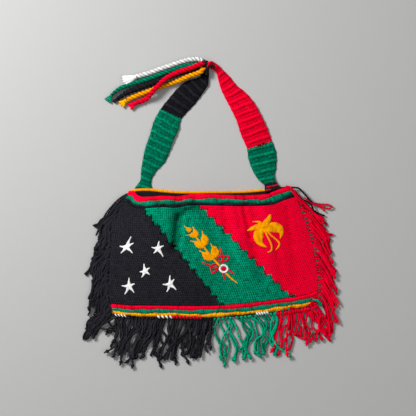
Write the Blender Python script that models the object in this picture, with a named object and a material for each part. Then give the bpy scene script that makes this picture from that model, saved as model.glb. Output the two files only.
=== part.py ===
"""Bilum shoulder bag of crocheted yarn, laid flat on its back.

The frame is +Z up, with the origin on the flat underside of the back panel, near its middle, and +Y from
the base to the mouth. Sizes and tables are in millimetres, and MM turns them into metres.
"""

import math
from collections import namedtuple

import bmesh
import bpy
from mathutils import Matrix, Vector

MM = 0.001

# Driving dimensions
GAP = 0.3                 # between pieces that touch
CLOTH = 3.0               # thickness of the front and back panels
CROWN = 15.0              # how far the front panel stands off the back panel
ROWS_THICK = 4.5          # thickness of the raised border rows
MOUTH_BORDER = 24.0       # red, green and black rows along the front rim
BACK_BORDER = 6.0         # yellow row along the back rim
BASE_BORDER = 20.0        # red, green, yellow and black rows along the base
STRAP_THICK = 3.4         # strap between its ridges
STRAP_RIDGE = 1.2         # how far a ridge stands above that
RIDGE_PITCH = 16.0        # from ridge to ridge along the strap
CORD_RADIUS = 4.3         # twisted tie cords
CORD_STEP = 18.0          # between the points of a cord's spline
FRINGE_THICK = 5.0        # two strands lying on each other
FRINGE_SPINE = 4.0        # row of knots that joins a fringe's strands along its edge

BLACK = (0.012, 0.011, 0.014)
GREEN = (0.0, 0.30, 0.16)
RED = (0.92, 0.0, 0.03)
YELLOW = (1.0, 0.47, 0.0)
WHITE = (0.85, 0.85, 0.85)

# Outline of the pouch as it lies: its four edges, each from left to right or from the base up
Place = namedtuple("Place", "x y")
BASE_EDGE = [Place(-189, -124), Place(-150, -127), Place(-80, -128), Place(-20, -129), Place(30, -126),
             Place(80, -120), Place(120, -112), Place(160, -103), Place(200, -95)]
LEFT_EDGE = [Place(-189, -124), Place(-195, -108), Place(-197, -66), Place(-196, -28), Place(-193, 13),
             Place(-188, 47), Place(-178, 76), Place(-166, 100), Place(-160, 112)]
RIGHT_EDGE = [Place(200, -95), Place(199, -53), Place(194, -19), Place(190, 4), Place(183, 28),
              Place(176, 51), Place(167, 74), Place(159, 99), Place(143, 121)]
FRONT_RIM = [Place(-160, 112), Place(-150, 112), Place(-142, 104), Place(-132, 101), Place(-91, 103),
             Place(-66, 102), Place(-44, 106), Place(-11, 106), Place(51, 104), Place(101, 106),
             Place(114, 111), Place(127, 116), Place(143, 121)]
BACK_RIM = [Place(-160, 112), Place(-149, 116), Place(-120, 117), Place(-91, 114), Place(-60, 112),
            Place(0, 112), Place(60, 113), Place(97, 116), Place(143, 121)]

# Soft troughs (rise below 0) and ridges in the front panel, each running from one place to another
Fold = namedtuple("Fold", "top_x top_y low_x low_y width rise")
FOLDS = [Fold(-57, 100, -72, 5, 13, -4.5), Fold(-34, 105, -40, 60, 9, -2.5), Fold(-48, 100, -55, 30, 10, 2.0),
         Fold(42, 100, 55, -60, 12, 1.6), Fold(68, 100, 84, -60, 10, -1.4), Fold(96, 100, 112, -60, 12, 1.5),
         Fold(-120, 95, -130, 0, 18, 1.5), Fold(128, 105, 150, -60, 11, -1.3), Fold(-20, -110, -5, -40, 22, -1.5)]

# Cross sections of each strap leg from the neck down to the foot: both edges, and the lift off the surface
Section = namedtuple("Section", "left_x left_y right_x right_y lift")
LEFT_STRAP = [Section(-19.5, 336.5, -7, 337, 1), Section(-27, 328, -8, 324, 2), Section(-48, 321, -9.5, 313, 2),
              Section(-66, 308, -20, 297, 1), Section(-82, 290, -34, 278, 0), Section(-100, 267, -60, 249, 0),
              Section(-112, 245, -65, 230, 1.5), Section(-120, 218, -75, 208, 2.5), Section(-129, 192, -83, 186, 1),
              Section(-134, 168, -92, 166, 0), Section(-137, 148, -108, 149, 0), Section(-138, 133, -117, 132, 0),
              Section(-149, 117.2, -116, 118.1, 0)]
RIGHT_STRAP = [Section(1.2, 345, 3.5, 356, 2), Section(7, 335, 18, 341, 1.5), Section(10, 323, 31, 330, 0.5),
               Section(15, 306, 45, 313, 0), Section(24, 287, 62, 299, 0), Section(34, 268, 80, 277, 1),
               Section(45, 245, 92, 254, 2), Section(53, 220, 103, 231, 1.5), Section(65, 192, 112, 207, 0),
               Section(67, 175, 120, 184, 0), Section(74, 154, 120, 158, 0), Section(85, 135, 117, 140, 1),
               Section(95, 124.8, 119.5, 130, 3.5)]
CUFF = [Section(97.5, 124.8, 120, 129, 3.6), Section(98, 119.5, 123.5, 123.5, 5.4), Section(98, 115, 127, 119.5, 5.5),
        Section(99, 109, 128, 117.6, 5.5)]

# Routes of the tie cords, from the neck to the knot: the centre's place and its height off the surface
Route = namedtuple("Route", "x y z")
WHITE_ROUTE = [Route(-18, 357, 4.4), Route(-23, 360.5, 4.4), Route(-30, 362, 4.4), Route(-44, 361, 4.4),
               Route(-63, 356, 4.4), Route(-82, 349.5, 4.4), Route(-101, 343, 4.4), Route(-120, 336, 4.4),
               Route(-135, 331.5, 4.4), Route(-145, 329, 4.4)]
GREEN_ROUTE = [Route(-19.5, 347.5, 4.4), Route(-28, 351, 4.4), Route(-44, 351.3, 4.4), Route(-63, 346.2, 4.4),
               Route(-82, 339.7, 4.4), Route(-101, 332.8, 4.4), Route(-120, 326, 4.4), Route(-139, 319.8, 4.4),
               Route(-158, 314, 4.4), Route(-173, 308.5, 4.4), Route(-184, 301.5, 4.4), Route(-192, 294, 4.4)]
BLACK_ROUTE = [Route(-21, 338, 4.4), Route(-32, 340.8, 4.4), Route(-44, 340.8, 4.4), Route(-63, 336, 4.4),
               Route(-82, 329, 4.4), Route(-101, 322, 4.4), Route(-120, 315, 4.4), Route(-139, 308, 4.4),
               Route(-158, 301, 4.4), Route(-173, 293, 4.4), Route(-183, 285.5, 4.4)]
RED_ROUTE = [Route(-18.2, 354.5, 13.6), Route(-30, 349.5, 13.7), Route(-44, 344, 13.7), Route(-63, 338, 13.7),
             Route(-82, 329.5, 13.7), Route(-91, 323.5, 13.7), Route(-101, 314, 13.7), Route(-110, 305, 13.7),
             Route(-117, 297.3, 13.1), Route(-123, 290, 7.6), Route(-129, 285.8, 4.5), Route(-136, 282.4, 4.4),
             Route(-146, 279.5, 4.4)]
YELLOW_ROUTE = [Route(-18.2, 344.5, 13.6), Route(-21.5, 339, 13.7), Route(-30, 334.5, 13.4), Route(-44, 330, 11.5),
                Route(-59, 323.4, 9.5), Route(-72, 318.5, 6.5), Route(-91, 312.4, 4.5), Route(-105, 307.5, 4.4),
                Route(-120, 302, 4.4), Route(-139, 295, 4.4), Route(-158, 287, 4.4), Route(-163.5, 284.5, 4.4)]

# Tips of each fringe's teeth, in order along its edge, so that a tooth's tip lies as far along them as its root
LEFT_TIPS = [Place(-206, -146), Place(-224, -162), Place(-242, -165), Place(-240, -118), Place(-241, -84),
             Place(-240, -46), Place(-234, -6), Place(-222, 42)]
RIGHT_TIPS = [Place(212, -164), Place(224, -166), Place(233, -154), Place(237, -118), Place(236, -86),
              Place(233, -52), Place(229, -20), Place(224, 8), Place(226, 32), Place(226, 82)]
BLACK_TIPS = [Place(-200, -190), Place(-176, -211), Place(-154, -220), Place(-134, -206), Place(-115, -211),
              Place(-99, -229), Place(-74, -213), Place(-52, -210), Place(-28, -212), Place(-5, -200)]
GREEN_TIPS = [Place(20, -219), Place(38, -211), Place(60, -208), Place(78, -204), Place(96, -197), Place(113, -192)]
RED_TIPS = [Place(129, -198), Place(142, -200), Place(160, -176), Place(178, -178), Place(195, -168)]
Comb = namedtuple("Comb", "start stop teeth width lead")
LEFT_COMB = Comb(0.03, 0.96, 13, 6.0, 6)
RIGHT_COMB = Comb(0.02, 0.985, 13, 6.0, 6)
BLACK_COMB = Comb(0.01, 0.485, 10, 15, 40)
GREEN_COMB = Comb(0.488, 0.785, 6, 15, 38)
RED_COMB = Comb(0.788, 0.99, 5, 13, 30)

# A tie's end: stations from the cord on, as distance, half width and half height, in cord radii
Station = namedtuple("Station", "distance half_width half_height")
KNOT_AND_TUFT = [Station(0, 1.0, 1.0), Station(0.7, 1.4, 1.3), Station(1.6, 1.4, 1.3), Station(2.2, 1.0, 0.95),
                 Station(3.4, 1.35, 1.0), Station(5.4, 1.65, 1.0)]
TUFT = [Station(0, 1.0, 1.0), Station(0.8, 1.35, 1.2), Station(1.4, 1.0, 1.0), Station(2.3, 1.3, 1.0),
        Station(3.2, 1.6, 1.0)]
SMALL_TUFT = [Station(0, 1.0, 1.0), Station(0.6, 1.1, 1.0), Station(1.2, 0.95, 0.9), Station(2.0, 1.3, 0.9),
              Station(2.8, 1.6, 0.9)]
CUT_END = [Station(0, 1.0, 1.0), Station(0.8, 0.85, 0.9), Station(1.5, 0.5, 0.6)]
NECK = [Station(0.0, 7.0, 4.5), Station(4.0, 8.3, 7.0), Station(10.0, 8.6, 8.5), Station(17.0, 8.2, 8.0),
        Station(22.0, 4.5, 4.5)]
NECK_FOOT = Vector((-8.7, 337.4, 0))


def clear_scene():
    """Remove whatever the file opened with."""
    for item in list(bpy.data.objects):
        bpy.data.objects.remove(item)


def yarn_material(name, colour):
    """Matte yarn of one colour."""
    material = bpy.data.materials.new(name)
    material.use_nodes = True
    shader = material.node_tree.nodes["Principled BSDF"]
    shader.inputs["Base Color"].default_value = (*colour, 1)
    shader.inputs["Roughness"].default_value = 0.9
    shader.inputs["Metallic"].default_value = 0.0
    return material


def add_object(name, data, colour):
    """Link a mesh or curve to the scene under its own name and material."""
    piece = bpy.data.objects.new(name, data)
    data.materials.append(yarn_material(name, colour))
    bpy.context.scene.collection.objects.link(piece)
    return piece


def finish_mesh(name, shape, colour):
    """Turn a closed bmesh into an object, with its faces outward."""
    bmesh.ops.recalc_face_normals(shape, faces=shape.faces[:])
    if shape.calc_volume(signed=True) < 0:
        bmesh.ops.reverse_faces(shape, faces=shape.faces[:])
    data = bpy.data.meshes.new(name)
    shape.to_mesh(data)
    shape.free()
    return add_object(name, data, colour)


def along(table, share):
    """Point at a share of the length of the smooth curve through a table's rows."""
    rows = [Vector(row) for row in table]
    reach = [0.0]
    for before, after in zip(rows, rows[1:]):
        reach.append(reach[-1] + (after - before).length)
    target = min(max(share, 0.0), 1.0) * reach[-1]
    last = len(rows) - 1
    i = next((k for k in range(last) if target <= reach[k + 1]), last - 1)
    span = reach[i + 1] - reach[i]
    lead = (rows[i + 1] - rows[max(i - 1, 0)]) / (reach[i + 1] - reach[max(i - 1, 0)]) * span
    trail = (rows[min(i + 2, last)] - rows[i]) / (reach[min(i + 2, last)] - reach[i]) * span
    t = (target - reach[i]) / span
    return (rows[i] * (1 - 3 * t ** 2 + 2 * t ** 3) + lead * (t - 2 * t ** 2 + t ** 3)
            + rows[i + 1] * (3 * t ** 2 - 2 * t ** 3) + trail * (t ** 3 - t ** 2))


def beside(edge, share, distance):
    """Point at a distance outside an edge of the pouch."""
    step = 0.01
    run = (along(edge, min(share + step, 1)) - along(edge, max(share - step, 0))).normalized()
    outward = Vector((-run.y, run.x)) if edge is LEFT_EDGE else Vector((run.y, -run.x))
    return along(edge, share) + outward * distance


def pouch_place(rim, u, v):
    """Plan position at share u from left to right and v from the base to a rim."""
    corners = ((Vector(BASE_EDGE[0]) * (1 - u) + Vector(BASE_EDGE[-1]) * u) * (1 - v)
               + (Vector(rim[0]) * (1 - u) + Vector(rim[-1]) * u) * v)
    return (along(BASE_EDGE, u) * (1 - v) + along(rim, u) * v
            + along(LEFT_EDGE, v) * (1 - u) + along(RIGHT_EDGE, v) * u - corners)


def pouch_height(rim, u):
    """Length of the pouch from its base to a rim at share u."""
    return (along(rim, u) - along(BASE_EDGE, u)).length


def fold_rise(place):
    """Rise of the front panel's troughs and ridges at a plan position."""
    rise = 0.0
    for fold in FOLDS:
        top = Vector((fold.top_x, fold.top_y))
        run = Vector((fold.low_x, fold.low_y)) - top
        share = (place - top).dot(run) / run.length_squared
        nearest = top + run * min(max(share, 0.0), 1.0)
        rise += fold.rise * math.exp(-((place - nearest).length / fold.width) ** 2)
    return rise


def front_place(u, v):
    """Underside of the front panel and its borders at shares u and v of the pouch."""
    plan = pouch_place(FRONT_RIM, u, v)
    fullness = (1 - (2 * u - 1) ** 4) * (1 - (1 - v) ** 3)
    height = CLOTH + GAP + fullness * (CROWN + fold_rise(plan))
    return Vector((plan.x, plan.y, height))


def sheet(name, underside, thickness, columns, rows, colour):
    """Cloth over a grid of shares: its underside, and its thickness upwards from there."""
    shape = bmesh.new()
    bmesh.ops.create_grid(shape, x_segments=columns, y_segments=rows, size=0.5)
    raised = bmesh.ops.extrude_face_region(shape, geom=shape.faces[:])["geom"]
    top = [item for item in raised if isinstance(item, bmesh.types.BMVert)]
    bmesh.ops.translate(shape, verts=top, vec=(0, 0, 1))
    for vertex in shape.verts:
        u, v, level = vertex.co.x + 0.5, vertex.co.y + 0.5, vertex.co.z
        vertex.co = (underside(u, v) + Vector((0, 0, level * thickness(u, v)))) * MM
    return finish_mesh(name, shape, colour)


def slab(name, outline, thick, colour):
    """Flat piece of an outline, lying on the surface."""
    shape = bmesh.new()
    corners = [shape.verts.new((point.x * MM, point.y * MM, 0)) for point in outline]
    face = shape.faces.new(corners)
    raised = bmesh.ops.extrude_face_region(shape, geom=[face])["geom"]
    top = [item for item in raised if isinstance(item, bmesh.types.BMVert)]
    bmesh.ops.translate(shape, verts=top, vec=(0, 0, thick * MM))
    return finish_mesh(name, shape, colour)


def front_band(name, low, high, thick, rows, colour):
    """Strip of the front between two distances, each measured from the base (low) or rim (below 0)."""
    def share(u, v):
        height = pouch_height(FRONT_RIM, u)
        start = low / height if low >= 0 else 1 + low / height
        stop = high / height if high > 0 else 1 + high / height
        return start + (stop - start) * v
    sheet(name, lambda u, v: front_place(u, share(u, v)), lambda u, v: thick, 32, rows, colour)


def back_panel():
    """Back of the pouch, flat on the surface, up to the yellow row."""
    columns, rows = 32, 14
    top = [1 - (BACK_BORDER + GAP) / pouch_height(BACK_RIM, i / columns) for i in range(columns + 1)]
    outline = [along(BASE_EDGE, i / columns) for i in range(columns + 1)]
    outline += [pouch_place(BACK_RIM, 1, top[-1] * j / rows) for j in range(1, rows)]
    outline += [pouch_place(BACK_RIM, i / columns, top[i]) for i in range(columns, -1, -1)]
    outline += [pouch_place(BACK_RIM, 0, top[0] * j / rows) for j in range(rows - 1, 0, -1)]
    slab("back_panel", outline, CLOTH, BLACK)


def back_border():
    """Yellow row along the back rim."""
    def underside(u, v):
        share = 1 - BACK_BORDER * (1 - v) / pouch_height(BACK_RIM, u)
        plan = pouch_place(BACK_RIM, u, share)
        return Vector((plan.x, plan.y, 0))

    def thickness(u, v):
        # Where the front border closes over the corners, the row lies flat under it
        return CLOTH + (ROWS_THICK - CLOTH + 0.4) * min(1, 12 * u, 12 * (1 - u))
    sheet("mouth_border_back", underside, thickness, 32, 1, YELLOW)


def strap(name, sections, colour, ridge=STRAP_RIDGE):
    """Ridged strap leg through its cross sections."""
    middle = [((a + c) / 2, (b + d) / 2) for a, b, c, d, lift in sections]
    length = sum(math.dist(p, q) for p, q in zip(middle, middle[1:]))
    ridges = max(1, round(length / RIDGE_PITCH))

    def underside(u, v):
        left_x, left_y, right_x, right_y, lift = along(sections, v)
        across = 0.5 + 0.86 * (u - 0.5) + 1.12 * (u - 0.5) ** 3 / 2
        return Vector((left_x + (right_x - left_x) * across, left_y + (right_y - left_y) * across, max(lift, 0)))

    def thickness(u, v):
        edge = 0.7 if u in (0, 1) else 1
        return edge * (STRAP_THICK + ridge * math.sin(math.pi * ridges * v) ** 2)
    sheet(name, underside, thickness, 3, ridges * 4, colour)


def cord_points(route):
    """Even points along a cord's route."""
    length = sum((Vector(q) - Vector(p)).length for p, q in zip(route, route[1:]))
    count = round(length / CORD_STEP)
    return [along(route, i / count) for i in range(count + 1)]


def cord(name, route, colour):
    """Tie cord as a round tube along its route."""
    points = cord_points(route)
    data = bpy.data.curves.new(name, "CURVE")
    data.dimensions = "3D"
    data.bevel_depth = CORD_RADIUS * MM
    data.bevel_resolution = 2
    data.use_fill_caps = True
    spline = data.splines.new("POLY")
    spline.points.add(len(points) - 1)
    for slot, point in zip(spline.points, points):
        slot.co = (*(point * MM), 1)
    add_object(name, data, colour)


def lofted(name, foot, start, direction, stations, colour, sides=10):
    """Round lump through its stations along a direction, with its first face square to the start direction."""
    shape = bmesh.new()
    rings = []
    for station in stations:
        face = start if station is stations[0] else direction
        centre = foot + direction * station.distance
        centre.z = max(station.half_height, foot.z if station is stations[0] else 0)
        side = Vector((-face.y, face.x, 0)) * station.half_width
        turn = Matrix((side, Vector((0, 0, station.half_height)), face)).transposed()
        made = bmesh.ops.create_circle(shape, cap_ends=False, radius=1, segments=sides,
                                       matrix=Matrix.Translation(centre) @ turn.to_4x4())
        rings.append(made["verts"])
    for before, after in zip(rings, rings[1:]):
        edges = [edge for ring in (before, after) for edge in shape.edges
                 if all(vertex in ring for vertex in edge.verts)]
        bmesh.ops.bridge_loops(shape, edges=edges)
    bmesh.ops.holes_fill(shape, edges=[edge for edge in shape.edges if edge.is_boundary], sides=sides)
    bmesh.ops.scale(shape, vec=(MM, MM, MM), verts=shape.verts[:])
    finish_mesh(name, shape, colour)


def tie_end(name, route, stations, turn, colour):
    """Knot and tuft, or cut end, that carries on from a cord, turned from its run by some degrees."""
    points = cord_points(route)
    start = points[-1] - points[-2]
    start.z = 0
    start.normalize()
    foot = points[-1] + start * GAP
    direction = start.copy()
    direction.rotate(Matrix.Rotation(math.radians(turn), 3, "Z"))
    sized = [Station(s.distance * CORD_RADIUS, s.half_width * CORD_RADIUS, s.half_height * CORD_RADIUS)
             for s in stations]
    lofted(name, foot, start, direction, sized, colour)


def tooth_side(edge, root, tip, comb, half, sign):
    """Points down one side of a fringe tooth, from its root to its tip."""
    start = beside(edge, root, FRINGE_SPINE)
    bend = beside(edge, root, FRINGE_SPINE + comb.lead)
    points = [beside(edge, root + half * sign, FRINGE_SPINE)]
    turn = -sign if edge is LEFT_EDGE else sign
    for t in (0.3, 0.55, 0.8, 1.0):
        centre = start * (1 - t) ** 2 + bend * 2 * t * (1 - t) + tip * t ** 2
        run = ((bend - start) * (1 - t) + (tip - bend) * t).normalized()
        points.append(centre + Vector((-run.y, run.x)) * comb.width * (0.5 - 0.2 * t) * turn)
    return points


def fringe(name, edge, tips, comb, colour):
    """Fringe as one comb: a spine along an edge of the pouch, and teeth of gathered strands."""
    steps = 36
    span = comb.stop - comb.start
    length = sum((Vector(q) - Vector(p)).length for p, q in zip(edge, edge[1:]))
    half = comb.width / 2 / length
    outline = [beside(edge, comb.start + span * i / steps, 2 * GAP) for i in range(steps + 1)]
    outline.append(beside(edge, comb.stop, FRINGE_SPINE))
    for i in reversed(range(comb.teeth)):
        root = comb.start + half * 1.3 + (span - half * 2.6) * i / (comb.teeth - 1)
        tip = along(tips, i / (comb.teeth - 1))
        outline += tooth_side(edge, root, tip, comb, half, 1)
        outline += reversed(tooth_side(edge, root, tip, comb, half, -1))
    outline.append(beside(edge, comb.start, FRINGE_SPINE))
    slab(name, outline, FRINGE_THICK, colour)


def build_pouch():
    """Panels and borders."""
    back_panel()
    back_border()
    front_band("base_border", 0, BASE_BORDER, ROWS_THICK, 3, YELLOW)
    front_band("front_panel", BASE_BORDER + GAP, -MOUTH_BORDER - GAP, CLOTH, 14, GREEN)
    front_band("mouth_border_front", -MOUTH_BORDER, 0, ROWS_THICK, 3, RED)


def build_strap():
    """Both legs, the cuff and the neck that joins the legs."""
    strap("strap_left", LEFT_STRAP, GREEN)
    strap("strap_right", RIGHT_STRAP, RED)
    strap("strap_cuff", CUFF, BLACK, ridge=0)
    lofted("strap_neck", NECK_FOOT, Vector((0, 1, 0)), Vector((0, 1, 0)), NECK, BLACK)


def build_ties():
    """Five twisted cords with their ends."""
    cord("tie_white", WHITE_ROUTE, WHITE)
    cord("tie_green", GREEN_ROUTE, GREEN)
    cord("tie_black", BLACK_ROUTE, BLACK)
    cord("tie_red", RED_ROUTE, RED)
    cord("tie_yellow", YELLOW_ROUTE, YELLOW)
    tie_end("tuft_white", WHITE_ROUTE, KNOT_AND_TUFT, -3, WHITE)
    tie_end("tuft_green", GREEN_ROUTE, SMALL_TUFT, 11, GREEN)
    tie_end("tuft_black", BLACK_ROUTE, CUT_END, 8, BLACK)
    tie_end("tuft_red", RED_ROUTE, TUFT, 16, RED)
    tie_end("tuft_yellow", YELLOW_ROUTE, TUFT, 14, YELLOW)


def build_fringes():
    """Side and base fringes."""
    fringe("fringe_left", LEFT_EDGE, LEFT_TIPS, LEFT_COMB, BLACK)
    fringe("fringe_right", RIGHT_EDGE, RIGHT_TIPS, RIGHT_COMB, RED)
    fringe("fringe_base_black", BASE_EDGE, BLACK_TIPS, BLACK_COMB, BLACK)
    fringe("fringe_base_green", BASE_EDGE, GREEN_TIPS, GREEN_COMB, GREEN)
    fringe("fringe_base_red", BASE_EDGE, RED_TIPS, RED_COMB, RED)


def main():
    clear_scene()
    build_pouch()
    build_strap()
    build_ties()
    build_fringes()


main()
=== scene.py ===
"""Looks of the bilum shoulder bag: crocheted panels, embroidery, striped borders, ridged strap, twisted ties
and knotted fringes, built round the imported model. Tables are in millimetres, and MM turns them into metres."""

import math
import random
from collections import namedtuple

import bmesh
import bpy
import numpy as np
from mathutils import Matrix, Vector
from mathutils.bvhtree import BVHTree


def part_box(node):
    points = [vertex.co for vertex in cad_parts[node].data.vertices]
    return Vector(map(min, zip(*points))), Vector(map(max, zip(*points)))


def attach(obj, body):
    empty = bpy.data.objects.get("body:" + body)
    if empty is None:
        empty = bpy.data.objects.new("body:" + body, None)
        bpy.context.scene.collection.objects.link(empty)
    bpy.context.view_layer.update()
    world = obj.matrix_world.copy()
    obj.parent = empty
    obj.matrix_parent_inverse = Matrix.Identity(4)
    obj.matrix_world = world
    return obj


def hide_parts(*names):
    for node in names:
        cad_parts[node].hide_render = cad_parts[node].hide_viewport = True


bl_info = {
    "name": "Bilum Shoulder Bag",
    "version": (1, 0, 0),
    "blender": (4, 5, 0),
    "location": "View3D > Sidebar > Bilum",
    "description": "Crocheted shoulder bag with embroidery, striped borders, ridged strap, twisted ties and fringes",
    "category": "Add Mesh",
}

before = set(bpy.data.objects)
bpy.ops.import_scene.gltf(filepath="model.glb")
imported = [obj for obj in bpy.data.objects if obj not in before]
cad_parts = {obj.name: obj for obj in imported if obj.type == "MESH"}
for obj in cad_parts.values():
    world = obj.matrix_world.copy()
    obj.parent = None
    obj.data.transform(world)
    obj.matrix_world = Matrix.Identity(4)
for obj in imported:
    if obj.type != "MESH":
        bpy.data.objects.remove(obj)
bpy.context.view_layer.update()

MM = 0.001
UP = np.array((0.0, 0.0, 1.0))


# ---------------------------------------------------------------- helpers for tables
def rows_of(kind, *rows):
    """Table whose rows have the named columns of a kind."""
    return [kind(*row) for row in rows]


def lines_of(kind, *lines):
    """Lines, each a table whose rows have the named columns of a kind."""
    return [rows_of(kind, *line) for line in lines]


def level_route(*spots):
    """Route of a tie cord that lies on the surface all the way."""
    return [Route(*spot, CORD_MIDDLE) for spot in spots]


# ---------------------------------------------------------------- sizes
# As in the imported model, but for the base border and the ridges' pitch, which follow the yarn more closely
GAP = 0.3                 # between two pieces of cloth
CLOTH = 3.0               # thickness of the panels
CROWN = 15.0              # rise of the slack front over its edges
ROWS_THICK = 4.5          # thickness of the row along the back rim
MOUTH_BORDER = 24.0       # widths of the borders
BACK_BORDER = 6.0
BASE_BORDER = 23.0
STRAP_THICK = 3.4
RIDGE_PITCH = 14.6
CORD_MIDDLE = 4.4         # height of the middle of a tie cord that lies on the surface

CLOTH_WIDTH = 390.0       # sizes that give the number of stitches of each piece
FRONT_HEIGHT = 190.0
BACK_HEIGHT = 230.0
MOUTH_LENGTH = 310.0
BASE_LENGTH = 400.0
BACK_LENGTH = 305.0
STEP_ALONG = 0.95         # length of one small face along a border or a leg
ROUTE_STEP = 1.2          # length of one piece of a fringe strand

# The pouch's edges, the base and the rims from left to right, and the sides upward or downward
Place = namedtuple("Place", "x y")
BASE_EDGE = rows_of(
    Place, (-189, -124), (-150, -127), (-80, -128), (-20, -129), (30, -127), (80, -122.5), (120, -117.5),
    (145, -113.5), (165, -110.5), (184, -106), (200, -99))
LEFT_EDGE = rows_of(
    Place, (-189, -124), (-195, -108), (-197, -66), (-196, -28), (-193, 13), (-188, 47), (-178, 76), (-166, 100),
    (-160, 112))
RIGHT_EDGE = rows_of(
    Place, (200, -99), (199, -53), (194, -19), (190, 4), (183, 28), (176, 51), (167, 74), (159, 99), (143, 121))
FRONT_RIM = rows_of(
    Place, (-160, 112), (-150, 112), (-142, 104), (-132, 101), (-91, 103), (-66, 102), (-44, 106), (-11, 106),
    (51, 104), (101, 106), (114, 111), (127, 116), (143, 121))
BACK_RIM = rows_of(
    Place, (-160, 112), (-149, 116), (-120, 117), (-91, 114), (-60, 112), (0, 112), (60, 113), (97, 116),
    (143, 121))

# Troughs and ridges of the slack front, from a top place to a low one
Fold = namedtuple("Fold", "top_x top_y low_x low_y width rise")
FOLD_GAIN = 1.35
FOLDS = rows_of(
    Fold, (-57, 100, -72, 5, 13, -4.5), (-34, 105, -40, 60, 9, -2.5), (-48, 100, -55, 30, 10, 2),
    (42, 100, 55, -60, 12, 1.6), (68, 100, 84, -60, 10, -1.4), (96, 100, 112, -60, 12, 1.5),
    (-30, 80, -50, 74, 7, -2.4), (-50, 74, -66, 62, 6, -2.4), (-67, 62, -71, 4, 6, -3), (-54, 58, -58, 4, 7, 2.2),
    (-38, 66, -36, 44, 7, 1.4), (-92, 84, -84, 40, 8, 1.4), (-26, 84, 6, 2, 8, -2), (10, -6, 58, -42, 9, -1.8),
    (-62, -6, -20, -62, 9, 1.4), (-12, -52, 30, -100, 9, -1.2), (20, 76, 30, 30, 7, -1.4),
    (44, 82, 52, 44, 6, -1.8), (58, 80, 70, 24, 5, -2), (66, 80, 82, 20, 6, 1.4), (70, 10, 96, -60, 7, -1.4),
    (118, 20, 132, -60, 7, -1.4), (140, 78, 158, -50, 6, -1.5), (40, 10, 70, -50, 8, 1),
    (-120, 95, -130, 0, 18, 1.5), (128, 105, 150, -60, 11, -1.3), (-20, -110, -5, -40, 22, -1.5))

# Both edges of the strap's legs and of the cuff, from the top down, and how high they lie
Section = namedtuple("Section", "left_x left_y right_x right_y lift")
LEFT_STRAP = rows_of(
    Section, (-19.5, 336.5, -7, 337, 1), (-27, 328, -8, 324, 2), (-48, 321, -9.5, 313, 2), (-66, 308, -20, 297, 1),
    (-82, 290, -34, 278, 0), (-100, 267, -60, 249, 0), (-112, 245, -65, 230, 1.5), (-120, 218, -75, 208, 2.5),
    (-129, 192, -83, 186, 1), (-134, 168, -92, 166, 0), (-137, 148, -108, 149, 0), (-138, 133, -117, 132, 0),
    (-149, 117.2, -116, 118.1, 0))
RIGHT_STRAP = rows_of(
    Section, (-11.5, 343.5, -10, 356.5, 10.5), (-5.7, 344.5, -3, 358, 9), (1.8, 341, 7, 353, 4.5),
    (7, 334.5, 18, 342.5, 1.5), (10, 323, 31, 330, 0.5), (15, 306, 45, 313, 0), (24, 287, 62, 299, 0),
    (34, 268, 80, 277, 1), (45, 245, 92, 254, 2), (53, 220, 103, 231, 1.5), (65, 192, 112, 207, 0),
    (67, 175, 120, 184, 0), (74, 154, 120, 158, 0), (85, 135, 117, 140, 1), (95, 124.8, 119.5, 130, 3.5))
CUFF = rows_of(
    Section, (97.5, 124.8, 120, 129, 3.6), (98, 119.5, 123.5, 123.5, 5.4), (98, 115, 127, 119.5, 5.5),
    (99, 109, 128, 117.6, 5.5))
LEFT_JOINT = 5            # rows of the two tables where green yarn follows black or red
RIGHT_JOINT = 10
LEFT_RIDGES = (-44, -38, -29, -27, -26, -12)      # slant of the ridges in degrees, from the neck to the foot
RIGHT_RIDGES = (48, 34, 25, 21, 18, 13, 10)

# Middle lines of the tie cords, from the neck to their ends
Route = namedtuple("Route", "x y z")
WHITE_ROUTE = level_route(
    (-18, 357), (-23, 360.5), (-30, 362), (-44, 361), (-63, 356), (-82, 349.5), (-101, 343), (-120, 336),
    (-135, 331.5), (-145, 329))
GREEN_ROUTE = level_route(
    (-19.5, 347.5), (-28, 351), (-44, 351.3), (-63, 346.2), (-82, 339.7), (-101, 332.8), (-120, 326), (-139, 319.8),
    (-158, 314), (-173, 308.5), (-184, 301.5), (-192, 294))
BLACK_ROUTE = level_route(
    (-21, 338), (-32, 340.8), (-44, 340.8), (-63, 336), (-82, 329), (-101, 322), (-120, 315), (-139, 308),
    (-158, 301), (-173, 293), (-183, 285.5))
RED_ROUTE = rows_of(
    Route, (-18.2, 354.5, 13.6), (-30, 349.5, 13.7), (-44, 344, 13.7), (-63, 338, 13.7), (-82, 329.5, 13.7),
    (-91, 323.5, 13.7), (-101, 314, 13.7), (-110, 305, 13.7), (-117, 297.3, 13.1), (-123, 290, 7.6),
    (-129, 285.8, 4.5), (-136, 282.4, 4.4), (-146, 279.5, 4.4))
YELLOW_ROUTE = rows_of(
    Route, (-18.2, 344.5, 13.6), (-21.5, 339, 13.7), (-30, 334.5, 13.4), (-44, 330, 11.5), (-59, 323.4, 9.5),
    (-72, 318.5, 6.5), (-91, 312.4, 4.5), (-105, 307.5, 4.4), (-120, 302, 4.4), (-139, 295, 4.4), (-158, 287, 4.4),
    (-163.5, 284.5, 4.4))

# ---------------------------------------------------------------- colour fields and embroidery
# A stepped change of colour: where it starts at the top, and how far each step goes right and down
Stair = namedtuple("Stair", "top_x top_y step_x step_y")
BLACK_TO_GREEN = Stair(-130, 81.7, 13.64, 16.75)
GREEN_TO_RED = Stair(-13, 78, 15.4, 15.5)
STEP_LEAN = 0.3           # share of a step that leans instead of jumping
GREEN_FOOT = Place(157, -85)       # how far the green field's last row reaches, and its height

Row = namedtuple("Row", "yarn width")
MOUTH_ROWS = rows_of(Row, ("black", 6.2), ("green", 8.2), ("red", 9.6))
BASE_ROWS = rows_of(Row, ("black", 2.6), ("yellow", 5.8), ("green", 7.1), ("red", 7.5))

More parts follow.
